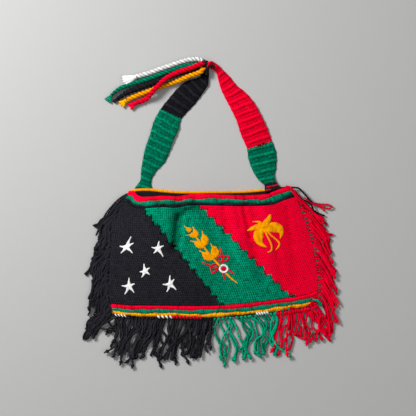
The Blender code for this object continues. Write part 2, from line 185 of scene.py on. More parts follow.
Arm = namedtuple("Arm", "length angle")
Star = namedtuple("Star", "x y arms")
STARS = [
    Star(-163.4, 5.7, rows_of(Arm, (21.7, 67), (15.3, 30), (16, -45), (16, -135), (13.4, 172))),
    Star(-103.6, 2.9, rows_of(Arm, (14.4, 82), (12, 28), (18, -58), (12, -135), (12.6, 167))),
    Star(-128.3, -39.9, rows_of(Arm, (14.3, 98), (10.8, 37), (10.9, -38), (13.2, -120), (10.4, 185))),
    Star(-158.7, -68.4, rows_of(Arm, (16, 90), (11.5, 24), (15.6, -53), (17.4, -119), (14.2, 176))),
    Star(-80.8, -64.6, rows_of(Arm, (17, 91), (12.2, 51), (15.5, -43), (15.7, -115), (14.2, 180)))]

Touch = namedtuple("Touch", "x y width")
BIRD = lines_of(
    Touch,
    ((90, 47, 9), (88, 52, 6.5), (82, 53.6, 3), (74.5, 54, 1)),
    ((96, 45, 13), (83, 43.5, 10.5), (73, 40.5, 7), (64.5, 36.5, 1)),
    ((97, 44, 12), (100.5, 51, 13), (104.6, 58, 9.5), (107.2, 64, 6), (108.2, 67.5, 2.5)),
    ((84, 43, 10), (94, 43, 17), (104, 42, 17), (113, 42, 14)),
    ((104, 43, 14), (115, 43.5, 19), (124.5, 40.5, 17), (129.5, 32, 8), (127, 22, 1)),
    ((92, 42, 14), (86.5, 32, 18), (85.5, 22, 17), (90, 12.5, 9.5), (101.5, 5.5, 1)),
    ((98, 37, 4), (103, 26, 3.4), (108.6, 15, 3.2), (111.2, 6, 3), (109.6, -1, 3), (102.8, -4, 1)),
    ((102, 37, 4), (111, 27, 3.4), (120, 19.6, 3.2), (125.4, 13, 3), (123.6, 6, 3), (118.6, 0.6, 1)))
SPRIG = lines_of(
    Touch,
    ((-42, 35.6, 7), (-44.4, 37.8, 9), (-47, 40, 8), (-50, 42.4, 2.6), (-54.2, 45.6, 1.2)),
    ((-29.5, 25.7, 4), (-31.2, 29.6, 8.6), (-33.4, 34, 9), (-35.6, 38.6, 4.6), (-37.7, 44.8, 1)),
    ((-31.4, 26.2, 4), (-36, 27, 7.6), (-40.6, 28, 7), (-45, 28.4, 2.6), (-51.3, 28.2, 1.2)),
    ((-17.1, 8.5, 4), (-15.6, 13.6, 12), (-15.6, 19.6, 14.6), (-17, 25.4, 11.4), (-18.6, 29.6, 4),
     (-20.6, 37, 1.2)),
    ((-17, 5.2, 4), (-20.6, 8, 11.6), (-25.6, 10.6, 14), (-31, 13.6, 10.4), (-35.2, 15.8, 3.6), (-43.1, 17.8, 1.2)),
    ((0.2, -15, 4), (2.8, -9.6, 12.6), (3.6, -3.4, 16), (1.6, 3.2, 11.6), (-1.4, 7, 4), (-4.2, 13, 1.2)),
    ((0.2, -17.2, 4), (-4.4, -14.6, 12.4), (-10.4, -11.6, 15.6), (-16.4, -7.6, 10.6), (-19.6, -4.6, 3.6),
     (-26.2, 0, 1.2)),
    ((-40.5, 33.4, 2.6), (-30, 22.4, 3.2), (-19, 8.6, 3.4), (-3.8, -11.4, 3.6), (8, -24.6, 3.4), (13.8, -30.5, 3)),
    ((24.6, -43.4, 3.6), (34.2, -53.2, 3.4), (46.6, -62.7, 1.8)))
BOW = lines_of(
    Touch,
    ((13.3, 5.7, 1.6), (15.6, -4, 3.3), (17.6, -13, 3.3), (19, -24, 3.3)),
    ((17.4, -12, 3), (11, -12.6, 3), (7.8, -17, 3), (10.6, -21, 3), (17.5, -21.5, 3)),
    ((19, -13.5, 3), (25.5, -10.2, 3), (30.2, -14.2, 3), (26.5, -19.5, 3), (19.8, -21, 3)),
    ((-20.9, -22.8, 1.6), (-11, -27.2, 3.3), (-2, -31, 3.3), (9, -35.2, 3.3)),
    ((-4, -31, 3), (1.8, -26.2, 3), (7.5, -28.6, 3), (9.6, -33.6, 3)),
    ((-4.4, -31.4, 3), (-2.8, -38, 3), (-0.6, -43.4, 3), (5, -39.6, 3), (10.4, -35.4, 3)),
    ((29, -36, 3), (34, -40.6, 3.2), (40.4, -45, 1.8)),
    ((18.6, -43, 3), (20.4, -48.6, 3.4), (22.6, -55.6, 2)))
Ring = namedtuple("Ring", "x y half_width half_height stroke")
RING = Ring(20.1, -34.8, 7.2, 6.6, 3.5)

# ---------------------------------------------------------------- fringes
# How far out the strands of the side fringes reach, from the top down
LEFT_OUTER = rows_of(
    Place, (-163, 113), (-181, 91), (-204, 68), (-217, 45), (-217, 14), (-227, -14), (-231, -40), (-232, -76),
    (-236, -100), (-236, -124), (-241, -143), (-246, -166))
RIGHT_OUTER = rows_of(
    Place, (146, 124), (160, 111), (186, 88), (205, 66), (220, 36), (222, 8), (227, -24), (232, -52), (236, -87),
    (235, -118), (234, -141), (229, -162))
# How the line that they fall beside runs on below the pouch's corners
LEFT_BELOW = rows_of(Place, (-199, -131), (-209, -139), (-217, -152), (-223, -164))
RIGHT_BELOW = rows_of(Place, (200, -99), (202, -125), (203, -160))

# Strands that lie by themselves, from the edge outward
LEFT_STRAYS = lines_of(
    Route,
    ((-157, 107, 4), (-174, 95.5, 4), (-190, 80.5, 4), (-205, 60, 3)),
    ((-158, 103, 4), (-172, 92, 4), (-186, 78, 4), (-197, 62, 3)),
    ((-158, 109, 5), (-176, 98.5, 5), (-192, 83, 4), (-206, 64, 4), (-212, 42, 3), (-214, 18, 3)),
    ((-160, 105, 6), (-176, 94, 6), (-190, 78, 5), (-202, 56, 5), (-207, 30, 4), (-213, 8, 3)),
    ((-163, 99, 5), (-178, 83, 4), (-191, 66, 5), (-200, 44, 4), (-208, 20, 3), (-220, -4, 3), (-224, -28, 2)),
    ((-209, -112, 6), (-205, -122, 5), (-197, -138, 4), (-188, -152, 3), (-181, -162, 2)),
    ((-189, -130, 5), (-198, -135, 6), (-209, -141, 6), (-220, -148, 4)),
    ((-221, -144, 4), (-210, -149, 6), (-199, -150, 6), (-189, -146, 4), (-181, -153, 2)),
    ((-221, -10, 4), (-229, -24, 4), (-236, -38, 3), (-244, -46, 2)),
    ((-222, -16, 4), (-229, -30, 4), (-235, -40, 3), (-241, -49, 2)),
    ((-176, 86, 5), (-196, 68, 5), (-212, 53, 4), (-228, 46, 3)),
    ((-178, 82, 5), (-196, 65, 5), (-210, 51, 4), (-225, 44, 3)),
    ((-178, 78, 5), (-196, 61, 5), (-208, 49, 4), (-220, 41, 3)))
RIGHT_STRAYS = lines_of(
    Route,
    ((172, 100, 5), (186, 91, 5), (204, 87, 4), (219, 86, 4), (226, 82, 4), (220, 78.5, 4), (208, 82, 5),
     (193, 86, 6), (178, 92, 6)),
    ((176, 78, 6), (190, 62, 6), (205, 44, 5), (216, 33, 4), (229, 29, 3)),
    ((178, 72, 5), (191, 56, 5), (204, 40, 4), (214, 30, 4), (226, 27, 2)),
    ((184, 50, 6), (198, 36, 6), (209, 22, 5), (219, 12, 3)),
    ((139, 121.5, 7), (145, 120, 10), (152, 114.5, 10), (158, 104.5, 9), (167, 95.5, 8), (184, 89.5, 6),
     (203, 81.5, 4), (213, 73, 3)),
    ((146, 116, 10), (152, 108.5, 10), (158, 99.5, 9), (168, 90.5, 8), (181, 81.5, 6), (192, 72.5, 5),
     (203, 61, 3)))
LOOSE_BLACK = lines_of(
    Route,
    ((147, 119, 8), (154, 118.5, 8), (163, 117, 6), (170, 110, 7), (177, 102, 8), (187, 91, 7)),
    ((150, 106, 9), (163, 98, 8), (174, 94, 8), (186, 86, 8), (191, 75, 7), (201, 69, 5), (212, 65, 3)))

# Gathered strands of a base fringe: from where to where along the edge, how many knots, and where they lie
Bundle = namedtuple("Bundle", "start stop knots tip_x tip_y spread bow")
BLACK_BUNDLES = rows_of(
    Bundle, (0.008, 0.035, 1, -199, -180, 5, -5), (0.035, 0.075, 2, -186, -192, 6, -4),
    (0.075, 0.115, 2, -174, -203, 6, 4), (0.115, 0.150, 2, -160, -204, 6, 8), (0.150, 0.185, 2, -150, -206, 5, 8),
    (0.185, 0.225, 3, -131, -199, 6, -7), (0.225, 0.262, 2, -113, -205, 5, -8), (0.262, 0.290, 1, -101, -212, 3, 6),
    (0.290, 0.330, 2, -88, -207, 6, -8), (0.330, 0.365, 2, -75, -206, 5, 6), (0.365, 0.400, 3, -53, -206, 6, -10),
    (0.400, 0.435, 3, -38, -206, 6, -5), (0.435, 0.462, 2, -26, -206, 5, 6), (0.462, 0.486, 2, -8, -196, 5, 4))
BLACK_STRANDS = lines_of(
    Place,
    ((-172, -128), (-173.5, -146), (-172, -163), (-180, -177), (-190, -186), (-201, -192)),
    ((-160, -128), (-149.5, -140), (-151, -155), (-165, -172), (-173.5, -191), (-175, -213)),
    ((-145, -128), (-146, -146), (-139, -155), (-146, -169), (-151, -191), (-153, -220)),
    ((-113.5, -129), (-119, -151), (-132, -170), (-146, -193), (-163, -212)),
    ((-119, -129), (-108, -140), (-119, -157), (-129, -176), (-132, -201)),
    ((-96, -129), (-100, -145), (-89.5, -164), (-83, -181), (-88, -200), (-102, -208)),
    ((-104, -129), (-107, -160), (-112, -181), (-107, -200), (-99, -220)),
    ((-81, -129), (-86, -150), (-79, -172), (-72.5, -191), (-70, -213)),
    ((-50, -129), (-57, -142), (-66, -156), (-71, -173), (-77, -204)),
    ((-44, -129), (-48, -151), (-58, -170), (-58.5, -191), (-48, -212)),
    ((-134, -129), (-128, -146), (-136, -164), (-127, -182), (-136, -203)),
    ((-184, -127), (-178, -146), (-186, -163), (-184, -181), (-188, -199)))
GREEN_STRANDS = lines_of(
    Place,
    ((3, -130), (0.5, -148), (9, -169), (14.5, -184), (14.5, -203)),
    ((10.5, -129), (3.5, -150), (9.5, -172), (21, -178), (23, -197)),
    ((11, -130), (15.5, -146), (26, -165), (31, -180), (25, -203), (22.5, -216)),
    ((18.5, -129), (26, -144), (33, -156), (45, -180), (41, -207)),
    ((26, -128), (36.5, -142), (32, -158), (39, -176), (44, -189), (39, -206)),
    ((32, -128), (43, -144), (49, -165), (60, -186), (68, -201)),
    ((33, -129), (30, -146), (20, -164), (13, -186), (16, -205)),
    ((45, -127), (60, -142), (70, -157), (60, -180), (46, -193), (42, -204)),
    ((53.5, -127), (68, -140), (76.5, -158), (66, -180), (59, -205)),
    ((54, -127), (57, -146), (66, -164), (63, -186), (70, -203)),
    ((61, -126), (70, -136), (72, -152), (62, -168), (56, -188), (58, -203)),
    ((68, -126), (89, -140), (98, -159), (110, -175), (115.5, -176.5)),
    ((71, -125), (87, -138), (94.5, -158), (81, -171), (80, -190), (89, -201)),
    ((81, -124.5), (93.5, -138), (98, -156), (87, -167), (85, -194)),
    ((81, -124.5), (79, -140), (84, -160), (84, -178), (80, -193)),
    ((90, -123), (102, -138), (98, -160), (92, -176), (96.5, -195)),
    ((100, -122), (111, -138), (119, -148), (110, -165), (102, -176), (97, -194)),
    ((101, -122), (100, -140), (108, -154), (106, -170), (96, -180)),
    ((110, -121), (121, -136), (118, -152), (108, -172), (112, -180)),
    ((117, -120), (122, -134), (112, -160), (120, -180), (131, -190), (145, -200)),
    ((117, -120), (110, -140), (112, -168), (122, -182), (118, -196)))
RED_BUNDLES = rows_of(Bundle, (0.940, 0.990, 2, 214, -163, 9, 4))
RED_STRANDS = lines_of(
    Place,
    ((120, -120), (125, -127), (131, -134.5), (125, -148), (118, -158), (113, -166)),
    ((124, -120), (121, -134), (122, -150), (117, -166), (119, -178), (114, -188)),
    ((129, -120), (129.5, -128.5), (126.5, -142), (121, -158), (119, -173), (112, -191)),
    ((136, -119), (134.5, -128.5), (129.5, -143), (129, -161), (131, -176), (125, -197)),
    ((138, -118), (143, -128.5), (142, -140), (133, -149), (130, -164), (129.5, -182)),
    ((143.5, -118), (144.5, -136), (140.5, -154), (140, -170), (139, -185), (141, -198)),
    ((147, -118), (149.5, -136), (149, -151), (143, -161), (136, -170)),
    ((151, -116), (145, -143), (146.5, -158), (151, -167), (148, -182), (144.5, -188)),
    ((152.5, -116.6), (153, -136), (152, -154), (157, -161), (167, -167), (174, -167)),
    ((157, -115), (155.5, -128.5), (157, -143), (160, -154), (166, -160)),
    ((160.5, -115), (163, -128.5), (161.5, -139), (166, -148), (165, -157), (156, -159)),
    ((164.5, -115), (167.5, -128.5), (172, -142), (172, -154), (176, -163), (178, -177)),
    ((169, -114), (170.5, -128.5), (174, -137.5), (176, -151), (182, -164), (184.5, -171)),
    ((173.5, -114), (178, -125.5), (176, -140.5), (183.5, -151), (183, -158)),
    ((176, -112), (185, -121), (188, -131.5), (188, -148), (197, -152.5), (200, -154)),
    ((180, -111.5), (183, -124), (190, -131), (199, -129), (206, -124), (212, -127)),
    ((182.5, -111), (189.5, -122.5), (192.5, -134.5), (201, -138), (202, -148), (197, -163), (195.5, -170)),
    ((188, -109), (195.5, -118), (203, -128.5), (206, -143.5), (200, -155), (191, -160), (188, -168)),
    ((194, -108), (203, -118), (211, -126), (210.5, -137.5), (203, -148), (201.5, -158), (206, -168)),
    ((197, -106), (209, -124), (219, -140.5), (215, -151), (212, -161), (220, -169)),
    ((190, -110), (197, -131.5), (204.5, -140.5), (210.5, -149), (218, -164)))

# Single stitches of other yarn under the base rows: where they start and stop, how many, and half their thickness
Stitches = namedtuple("Stitches", "yarn start_x stop_x count size")
EDGE_STITCHES = rows_of(
    Stitches, ("white", -184, -167, 4, 1.3), ("white", -103, -80, 4, 1.9), ("red", -75, -24, 9, 2.1),
    ("white", 84, 103, 5, 1.7), ("green", 120, 144, 3, 1.6))
# One such stitch, from where it starts on the edge, and how thick it is along its length
EDGE_STITCH = np.array(((-2.0, 3.6, 8.0), (-1.0, 2.4, 9.0), (0.6, 0.8, 8.6), (1.8, -0.8, 6.8)))
EDGE_STITCH_GIRTH = np.array((0.6, 1.0, 1.0, 0.65))
GREEN_TAIL = rows_of(Route, (188, -94, 9.5), (196, -95, 9.5), (201, -98, 9), (204, -102, 7.5), (206.5, -107, 5))


# ---------------------------------------------------------------- settings
def length_setting(name, description, default):
    """Setting for a length in metres."""
    return bpy.props.FloatProperty(name=name, description=description, default=default, unit="LENGTH")


def colour_setting(name, default):
    """Setting for a colour."""
    return bpy.props.FloatVectorProperty(name=name, description=f"Colour of the {name.lower()}", subtype="COLOR",
                                         size=3, min=0, max=1, default=default)


class BagSizes(bpy.types.PropertyGroup):
    """Sizes of the yarn and stitches."""
    stitch: length_setting("Stitch", "Width of one stitch of the panels", 0.0040)
    stitch_row: length_setting("Stitch row", "Height of one row of stitches of the panels", 0.0046)
    border_stitch: length_setting("Border stitch", "Width of one stitch of the borders", 0.0040)
    relief: length_setting("Stitch relief", "How far a stitch stands out of the cloth", 0.0011)
    strand: length_setting("Fringe strand", "Thickness of one strand of a fringe", 0.0042)
    cord: length_setting("Tie cord", "Thickness of a twisted tie cord", 0.0088)
    cord_turn: length_setting("Cord turn", "Length in which a tie cord's strands turn once", 0.0148)
    embroidery: length_setting("Embroidery", "How far the embroidery stands out", 0.0012)


class YarnColours(bpy.types.PropertyGroup):
    """Colours of the yarns and the floor."""
    black: colour_setting("Black yarn", (0.011, 0.0105, 0.0135))
    green: colour_setting("Green yarn", (0.0, 0.135, 0.072))
    red: colour_setting("Red yarn", (0.80, 0.0, 0.022))
    yellow: colour_setting("Yellow yarn", (1.0, 0.345, 0.0))
    white: colour_setting("White yarn", (0.90, 0.90, 0.89))
    floor: colour_setting("Floor", (0.50, 0.50, 0.495))


def sizes():
    """The bag's sizes in the open scene."""
    return bpy.context.scene.bag_sizes


def yarn(name):
    """Colour of a yarn by its name."""
    return np.array(getattr(bpy.context.scene.yarn_colours, name)[:])


# ---------------------------------------------------------------- finishes
def join(tree, value, socket):
    """Link a socket to another, or set its value."""
    if isinstance(value, bpy.types.NodeSocket):
        tree.links.new(value, socket)
    else:
        socket.default_value = value


def maths(tree, operation, *values):
    """Math node over its values."""
    node = tree.nodes.new("ShaderNodeMath")
    node.operation = operation
    for value, socket in zip(values, node.inputs):
        join(tree, value, socket)
    return node.outputs[0]


def noise(tree, place, scale, detail=2.0):
    """Noise from 0 to 1 at a place, with a scale in features for each metre."""
    node = tree.nodes.new("ShaderNodeTexNoise")
    join(tree, place, node.inputs["Vector"])
    node.inputs["Scale"].default_value = scale
    node.inputs["Detail"].default_value = detail
    return node.outputs["Fac"]


def wool_shader(name):
    """Material of matte wool, with its tree, shader, object coordinates and the colour painted on its faces: yarn
    colour with painted shade in it.
    """
    material = bpy.data.materials.new(name)
    material.use_nodes = True
    tree = material.node_tree
    shader = tree.nodes["Principled BSDF"]
    shader.inputs["Metallic"].default_value = 0.0
    shader.inputs["Roughness"].default_value = 0.92
    shader.inputs["Specular IOR Level"].default_value = 0.03
    place = tree.nodes.new("ShaderNodeTexCoord").outputs["Object"]
    # Colour attribute: yarn colour with painted shade in it
    dye = tree.nodes.new("ShaderNodeAttribute")
    dye.attribute_name = "dye"
    return material, tree, shader, place, dye.outputs["Color"]


def weave_place(tree):
    """Place in stitches or threads, across and along the cloth."""
    weave = tree.nodes.new("ShaderNodeUVMap")
    weave.uv_map = "weave"
    apart = tree.nodes.new("ShaderNodeSeparateXYZ")
    join(tree, weave.outputs[0], apart.inputs[0])
    return apart.outputs["X"], apart.outputs["Y"]


def bump(tree, shader, height, distance):
    """Bump from a height."""
    node = tree.nodes.new("ShaderNodeBump")
    node.inputs["Strength"].default_value = 0.6
    node.inputs["Distance"].default_value = distance
    join(tree, height, node.inputs["Height"])
    join(tree, node.outputs["Normal"], shader.inputs["Normal"])


def tinted(tree, shader, colour, shade):
    """Base colour: a colour made darker or lighter by a shade."""
    node = tree.nodes.new("ShaderNodeVectorMath")
    node.operation = "SCALE"
    join(tree, colour, node.inputs[0])
    join(tree, shade, node.inputs["Scale"])
    join(tree, node.outputs[0], shader.inputs["Base Color"])


def crochet_finish(name, depth, blotch=0.4):
    """Crocheted cloth: each stitch's two legs as bump and as painted shade, darker between the legs and the rows by a
    depth, with soft blotches.
    """
    material, tree, shader, place, dye = wool_shader(name)
    column, row = (maths(tree, "FRACT", axis) for axis in weave_place(tree))
    side = maths(tree, "MULTIPLY", maths(tree, "ABSOLUTE", maths(tree, "SUBTRACT", column, 0.5)), 2.0)
    lean = maths(tree, "SUBTRACT", side, maths(tree, "MULTIPLY", row, 0.6))
    legs = maths(tree, "MULTIPLY_ADD", maths(tree, "COSINE", maths(tree, "MULTIPLY", lean, math.tau)), 0.5, 0.5)
    crown = maths(tree, "SINE", maths(tree, "MULTIPLY", row, math.pi))
    relief = maths(tree, "MULTIPLY", maths(tree, "MULTIPLY_ADD", legs, 0.6, 0.4), crown)
    mottle = noise(tree, place, 330.0)
    fibre = noise(tree, place, 2600.0)
    # Painted shade: darker between each stitch's legs and between its rows
    shade = maths(tree, "MULTIPLY_ADD", relief, depth, 1.0 - depth * 0.4)
    shade = maths(tree, "MULTIPLY", shade, maths(tree, "MULTIPLY_ADD", mottle, blotch, 1.0 - blotch / 2))
    tinted(tree, shader, dye, shade)
    bump(tree, shader, maths(tree, "ADD", relief, maths(tree, "MULTIPLY", fibre, 0.2)), 0.0003)
    return material


def spun_finish(name):
    """Spun yarn: fine fibres and small changes of shade."""
    material, tree, shader, place, dye = wool_shader(name)
    mottle = noise(tree, place, 260.0, 3.0)
    fibre = noise(tree, place, 3200.0, 3.0)
    shade = maths(tree, "MULTIPLY_ADD", mottle, 0.6, 0.7)
    shade = maths(tree, "MULTIPLY", shade, maths(tree, "MULTIPLY_ADD", fibre, 0.4, 0.8))
    tinted(tree, shader, dye, shade)
    bump(tree, shader, fibre, 0.00015)
    return material


def thread_finish(name):
    """Embroidery: threads laid side by side, with painted shade between them."""
    material, tree, shader, place, dye = wool_shader(name)
    _, lanes = weave_place(tree)
    threads = maths(tree, "ABSOLUTE", maths(tree, "SINE", maths(tree, "MULTIPLY", lanes, math.pi)))
    fibre = noise(tree, place, 2400.0)
    # Painted shade in the grooves between the threads
    shade = maths(tree, "MULTIPLY_ADD", threads, 0.16, 0.92)
    shade = maths(tree, "MULTIPLY", shade, maths(tree, "MULTIPLY_ADD", noise(tree, place, 400.0), 0.5, 0.78))
    tinted(tree, shader, dye, shade)
    bump(tree, shader, maths(tree, "ADD", threads, maths(tree, "MULTIPLY", fibre, 0.2)), 0.00015)
    return material


# ---------------------------------------------------------------- lines and surfaces
def steps(points):
    """Lengths from each point of a line to the next."""
    return np.linalg.norm(np.diff(points, axis=0), axis=1)


def reaches(points):
    """Length of a line up to each of its points."""
    return np.concatenate(([0.0], np.cumsum(steps(points))))


def unit(vector):
    """Vector of length one."""
    return vector / np.linalg.norm(vector)


def square(run):
    """Directions a quarter turn to the left of plan directions."""
    return np.stack((-run[..., 1], run[..., 0]), axis=-1)


def turned(run, angle):
    """Plan direction turned by an angle."""
    return np.array((run[0] * math.cos(angle) - run[1] * math.sin(angle),
                     run[0] * math.sin(angle) + run[1] * math.cos(angle)))


def along(table, share):
    """Points at shares of the length of the smooth curve through a table's rows, one row for each share."""
    rows = np.array([tuple(row) for row in table], float)
    reach = reaches(rows)
    target = np.clip(np.atleast_1d(np.asarray(share, float)), 0, 1) * reach[-1]
    last = len(rows) - 1
    i = np.clip(np.searchsorted(reach, target, side="left") - 1, 0, last - 1)
    before, after = np.maximum(i - 1, 0), np.minimum(i + 2, last)
    span = (reach[i + 1] - reach[i])[:, None]
    lead = (rows[i + 1] - rows[before]) / (reach[i + 1] - reach[before])[:, None] * span
    trail = (rows[after] - rows[i]) / (reach[after] - reach[i])[:, None] * span
    t = (target - reach[i])[:, None] / span
    return (rows[i] * (1 - 3 * t ** 2 + 2 * t ** 3) + lead * (t - 2 * t ** 2 + t ** 3)
            + rows[i + 1] * (3 * t ** 2 - 2 * t ** 3) + trail * (t ** 3 - t ** 2))


def table_length(table):
    """Length of the line through a table's rows."""
    return steps(np.array([tuple(row) for row in table], float)).sum()


def row_share(table, row):
    """Share of a table's length at one of its rows."""
    return table_length(table[:row + 1]) / table_length(table)


def even_points(table, step):
    """Points a step apart along the smooth curve through a table's rows."""
    count = max(2, round(table_length(table) / step))
    return along(table, np.linspace(0, 1, count + 1))


def pouch_plan(rim, u, v):
    """Plan positions at shares u from left to right and v from the base to a rim."""
    base, top, left, right = along(BASE_EDGE, u), along(rim, u), along(LEFT_EDGE, v), along(RIGHT_EDGE, v)
    u, v = np.asarray(u, float)[:, None], np.asarray(v, float)[:, None]
    first, final = np.array(BASE_EDGE[0]), np.array(BASE_EDGE[-1])
    corners = (first * (1 - u) + final * u) * (1 - v) + (np.array(rim[0]) * (1 - u) + np.array(rim[-1]) * u) * v
    return base * (1 - v) + top * v + left * (1 - u) + right * u - corners


def pouch_height(rim, u):
    """Length of the pouch from its base to a rim at share u."""
    return np.linalg.norm(along(rim, u) - along(BASE_EDGE, u), axis=1)


def fold_rise(plan):
    """Rise of the front panel's troughs and ridges at plan positions."""
    rise = np.zeros(len(plan))
    for fold in FOLDS:
        top = np.array((fold.top_x, fold.top_y), float)
        run = np.array((fold.low_x, fold.low_y), float) - top
        share = np.clip((plan - top) @ run / (run @ run), 0, 1)
        apart = np.linalg.norm(plan - (top + share[:, None] * run), axis=1)
        rise += FOLD_GAIN * fold.rise * np.exp(-(apart / fold.width) ** 2)
    return rise


def front_place(u, v):
    """Underside of the front panel and its borders at shares u and v of the pouch."""
    plan = pouch_plan(FRONT_RIM, u, v)
    fullness = (1 - (2 * u - 1) ** 4) * (1 - (1 - v) ** 3)
    return np.column_stack((plan, CLOTH + GAP + fullness * (CROWN + fold_rise(plan))))


def up_from_base(distance):
    """Share of the pouch's height at a distance up from its base, as a function of the share of its width."""
    return lambda u: distance / pouch_height(FRONT_RIM, u)


def down_from_rim(distance):
    """Share of the pouch's height at a distance down from its front rim, as a function of the share of its width."""
    return lambda u: 1 - distance / pouch_height(FRONT_RIM, u)


def wave(value):
    """Triangle wave from -1 to 1 that repeats with every whole number."""
    return 4 * np.abs(value - np.floor(value + 0.5)) - 1


# ---------------------------------------------------------------- making pieces
def places(items, attribute):
    """Where a mesh's vertices or faces are, one row for each."""
    place = np.empty(len(items) * 3)
    items.foreach_get(attribute, place)
    return place.reshape(-1, 3)


def face_outward(shape):
    """Turn the faces of a closed shape outward."""
    if shape.calc_volume(signed=True) < 0:
        bmesh.ops.reverse_faces(shape, faces=shape.faces[:])


def order_faces(shape):
    """Put a shape's faces in the same order in each run, by where they are."""
    def rank(face):
        middle = face.calc_center_median()
        return (middle.z * 2000 + middle.y) * 2000 + middle.x

    shape.faces.sort(key=rank)


def extrude(shape, faces):
    """Extrude faces of a shape. Gives the vertices of the new side."""
    made = bmesh.ops.extrude_face_region(shape, geom=faces)["geom"]
    return [item for item in made if isinstance(item, bmesh.types.BMVert)]


def add_piece(name, data, finish, slot, *nodes):
    """Link a mesh as a piece that rides on the bag, and stands for CAD nodes."""
    piece = bpy.data.objects.new(name, data)
    data.materials.clear()
    data.materials.append(finish)
    bpy.context.scene.collection.objects.link(piece)
    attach(piece, "root")
    if nodes:
        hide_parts(*nodes)
    return piece


def smooth(data):
    """Shade a mesh smooth."""
    data.polygons.foreach_set("use_smooth", np.ones(len(data.polygons), bool))
    data.update()


def paint(data, colours, weave, tone=1.0):
    """Give a mesh the colour of each face, with any painted shade in it, times the tone of each vertex, and the weave
    place of each of its vertices.
    """
    total = np.empty(len(data.polygons), int)
    data.polygons.foreach_get("loop_total", total)
    dye = np.ones((len(data.loops), 4))
    corner = np.empty(len(data.loops), int)
    data.loops.foreach_get("vertex_index", corner)
    shade = np.broadcast_to(tone, len(data.vertices))[corner]
    dye[:, :3] = np.clip(np.repeat(colours, total, axis=0) * shade[:, None], 0, 1)
    layer = data.color_attributes.new(name="dye", type="FLOAT_COLOR", domain="CORNER")
    layer.data.foreach_set("color", dye.ravel())
    data.uv_layers.new(name="weave").data.foreach_set("uv", weave[corner].ravel())


def closed_grid(columns, rows):
    """Mesh of a closed sheet over shares from -0.5 to 0.5, its upper side at height 1."""
    shape = bmesh.new()
    bmesh.ops.create_grid(shape, x_segments=columns, y_segments=rows, size=0.5)
    bmesh.ops.translate(shape, verts=extrude(shape, shape.faces[:]), vec=(0, 0, 1))
    bmesh.ops.recalc_face_normals(shape, faces=shape.faces[:])
    face_outward(shape)
    order_faces(shape)
    return shape


def crochet(name, columns, rows, underside, thickness, dye, weave, finish, slot, *nodes):
    """Closed sheet of crocheted cloth. Over arrays of shares, underside gives its lower side, thickness how far its
    upper side stands over that, the colour function the colour of each small face with the shade painted into it, and
    weave the place in stitches."""
    shape = closed_grid(columns, rows)
    data = bpy.data.meshes.new(name)
    shape.to_mesh(data)
    shape.free()
    centre = places(data.polygons, "center")[:, :2] + 0.5
    u, v, level = places(data.vertices, "co").T
    u, v = np.clip(u + 0.5, 0, 1), np.clip(v + 0.5, 0, 1)
    spot = underside(u, v) + UP * (level * thickness(u, v))[:, None]
    data.vertices.foreach_set("co", (spot * MM).ravel())
    paint(data, dye(centre[:, 0], centre[:, 1]), np.column_stack(weave(u, v)))
    smooth(data)
    return add_piece(name, data, finish, slot, *nodes)


def lobed_section(sides, lobes, depth):
    """Closed outline of a strand's cross section, as a curve of about unit radius."""
    data = bpy.data.curves.new("section", "CURVE")
    data.dimensions = "2D"
    outline = data.splines.new("POLY")
    outline.points.add(sides - 1)
    for i, point in enumerate(outline.points):
        angle = math.tau * i / sides
        radius = 1 + depth * math.cos(lobes * angle)
        point.co = (radius * math.cos(angle), radius * math.sin(angle), 0, 1)
    outline.use_cyclic_u = True
    return bpy.data.objects.new("section", data)


def shade_and_dye_strands(mesh, strands, sides, lobes, colour, shade, seed, unlike):
    """Dye strands and paint shade on them: painted shade between a strand's plies and round its sides, where less
    light falls; darker at its cut ends; one strand unlike the next; and as the painted shade function says for each
    place."""
    rng = random.Random(seed)
    # Painted shade in the furrows between a strand's plies
    ply_furrow_shade = 1.03 - 0.16 * (0.5 - 0.5 * np.cos(lobes * math.tau * np.arange(sides) / sides))
    cut_ends = np.full(2 * sides * len(strands), 0.8)
    tone = np.concatenate([cut_ends] + [np.tile(ply_furrow_shade, len(points)) * rng.uniform(1 - unlike, 1 + unlike)
                                        for points, _ in strands])
    middle = np.concatenate([np.repeat(points[[0, -1], 2], sides) for points, _ in strands]
                            + [np.repeat(points[:, 2], sides) for points, _ in strands])
    radius = np.concatenate([np.repeat(radii[[0, -1]], sides) for _, radii in strands]
                            + [np.repeat(radii, sides) for _, radii in strands])
    place = places(mesh.vertices, "co") / MM
    # Painted shade: each strand lighter on its top and darker round its sides, times the painted shade for each place
    tone = tone * shade(place) * (0.40 + 0.74 * np.clip((place[:, 2] - middle) / radius, 0, 1))
    dye = np.ones((len(tone), 4))
    dye[:, :3] = np.clip(tone[:, None] * np.asarray(colour), 0, 1)
    mesh.color_attributes.new(name="dye", type="FLOAT_COLOR", domain="POINT").data.foreach_set("color", dye.ravel())


MOST_TWIST = 0.55         # most that a strand turns from one point to the next, in radians
WELD = 1e-7               # distance within which a strand's cut ends are joined to its sides


def painted_low_shade(place):
    """Painted shade: darker for yarn that lies low between other strands, where less light reaches it."""
    return 0.30 + 0.88 * np.clip((place[:, 2] - 1.6) / 4.0, 0, 1)


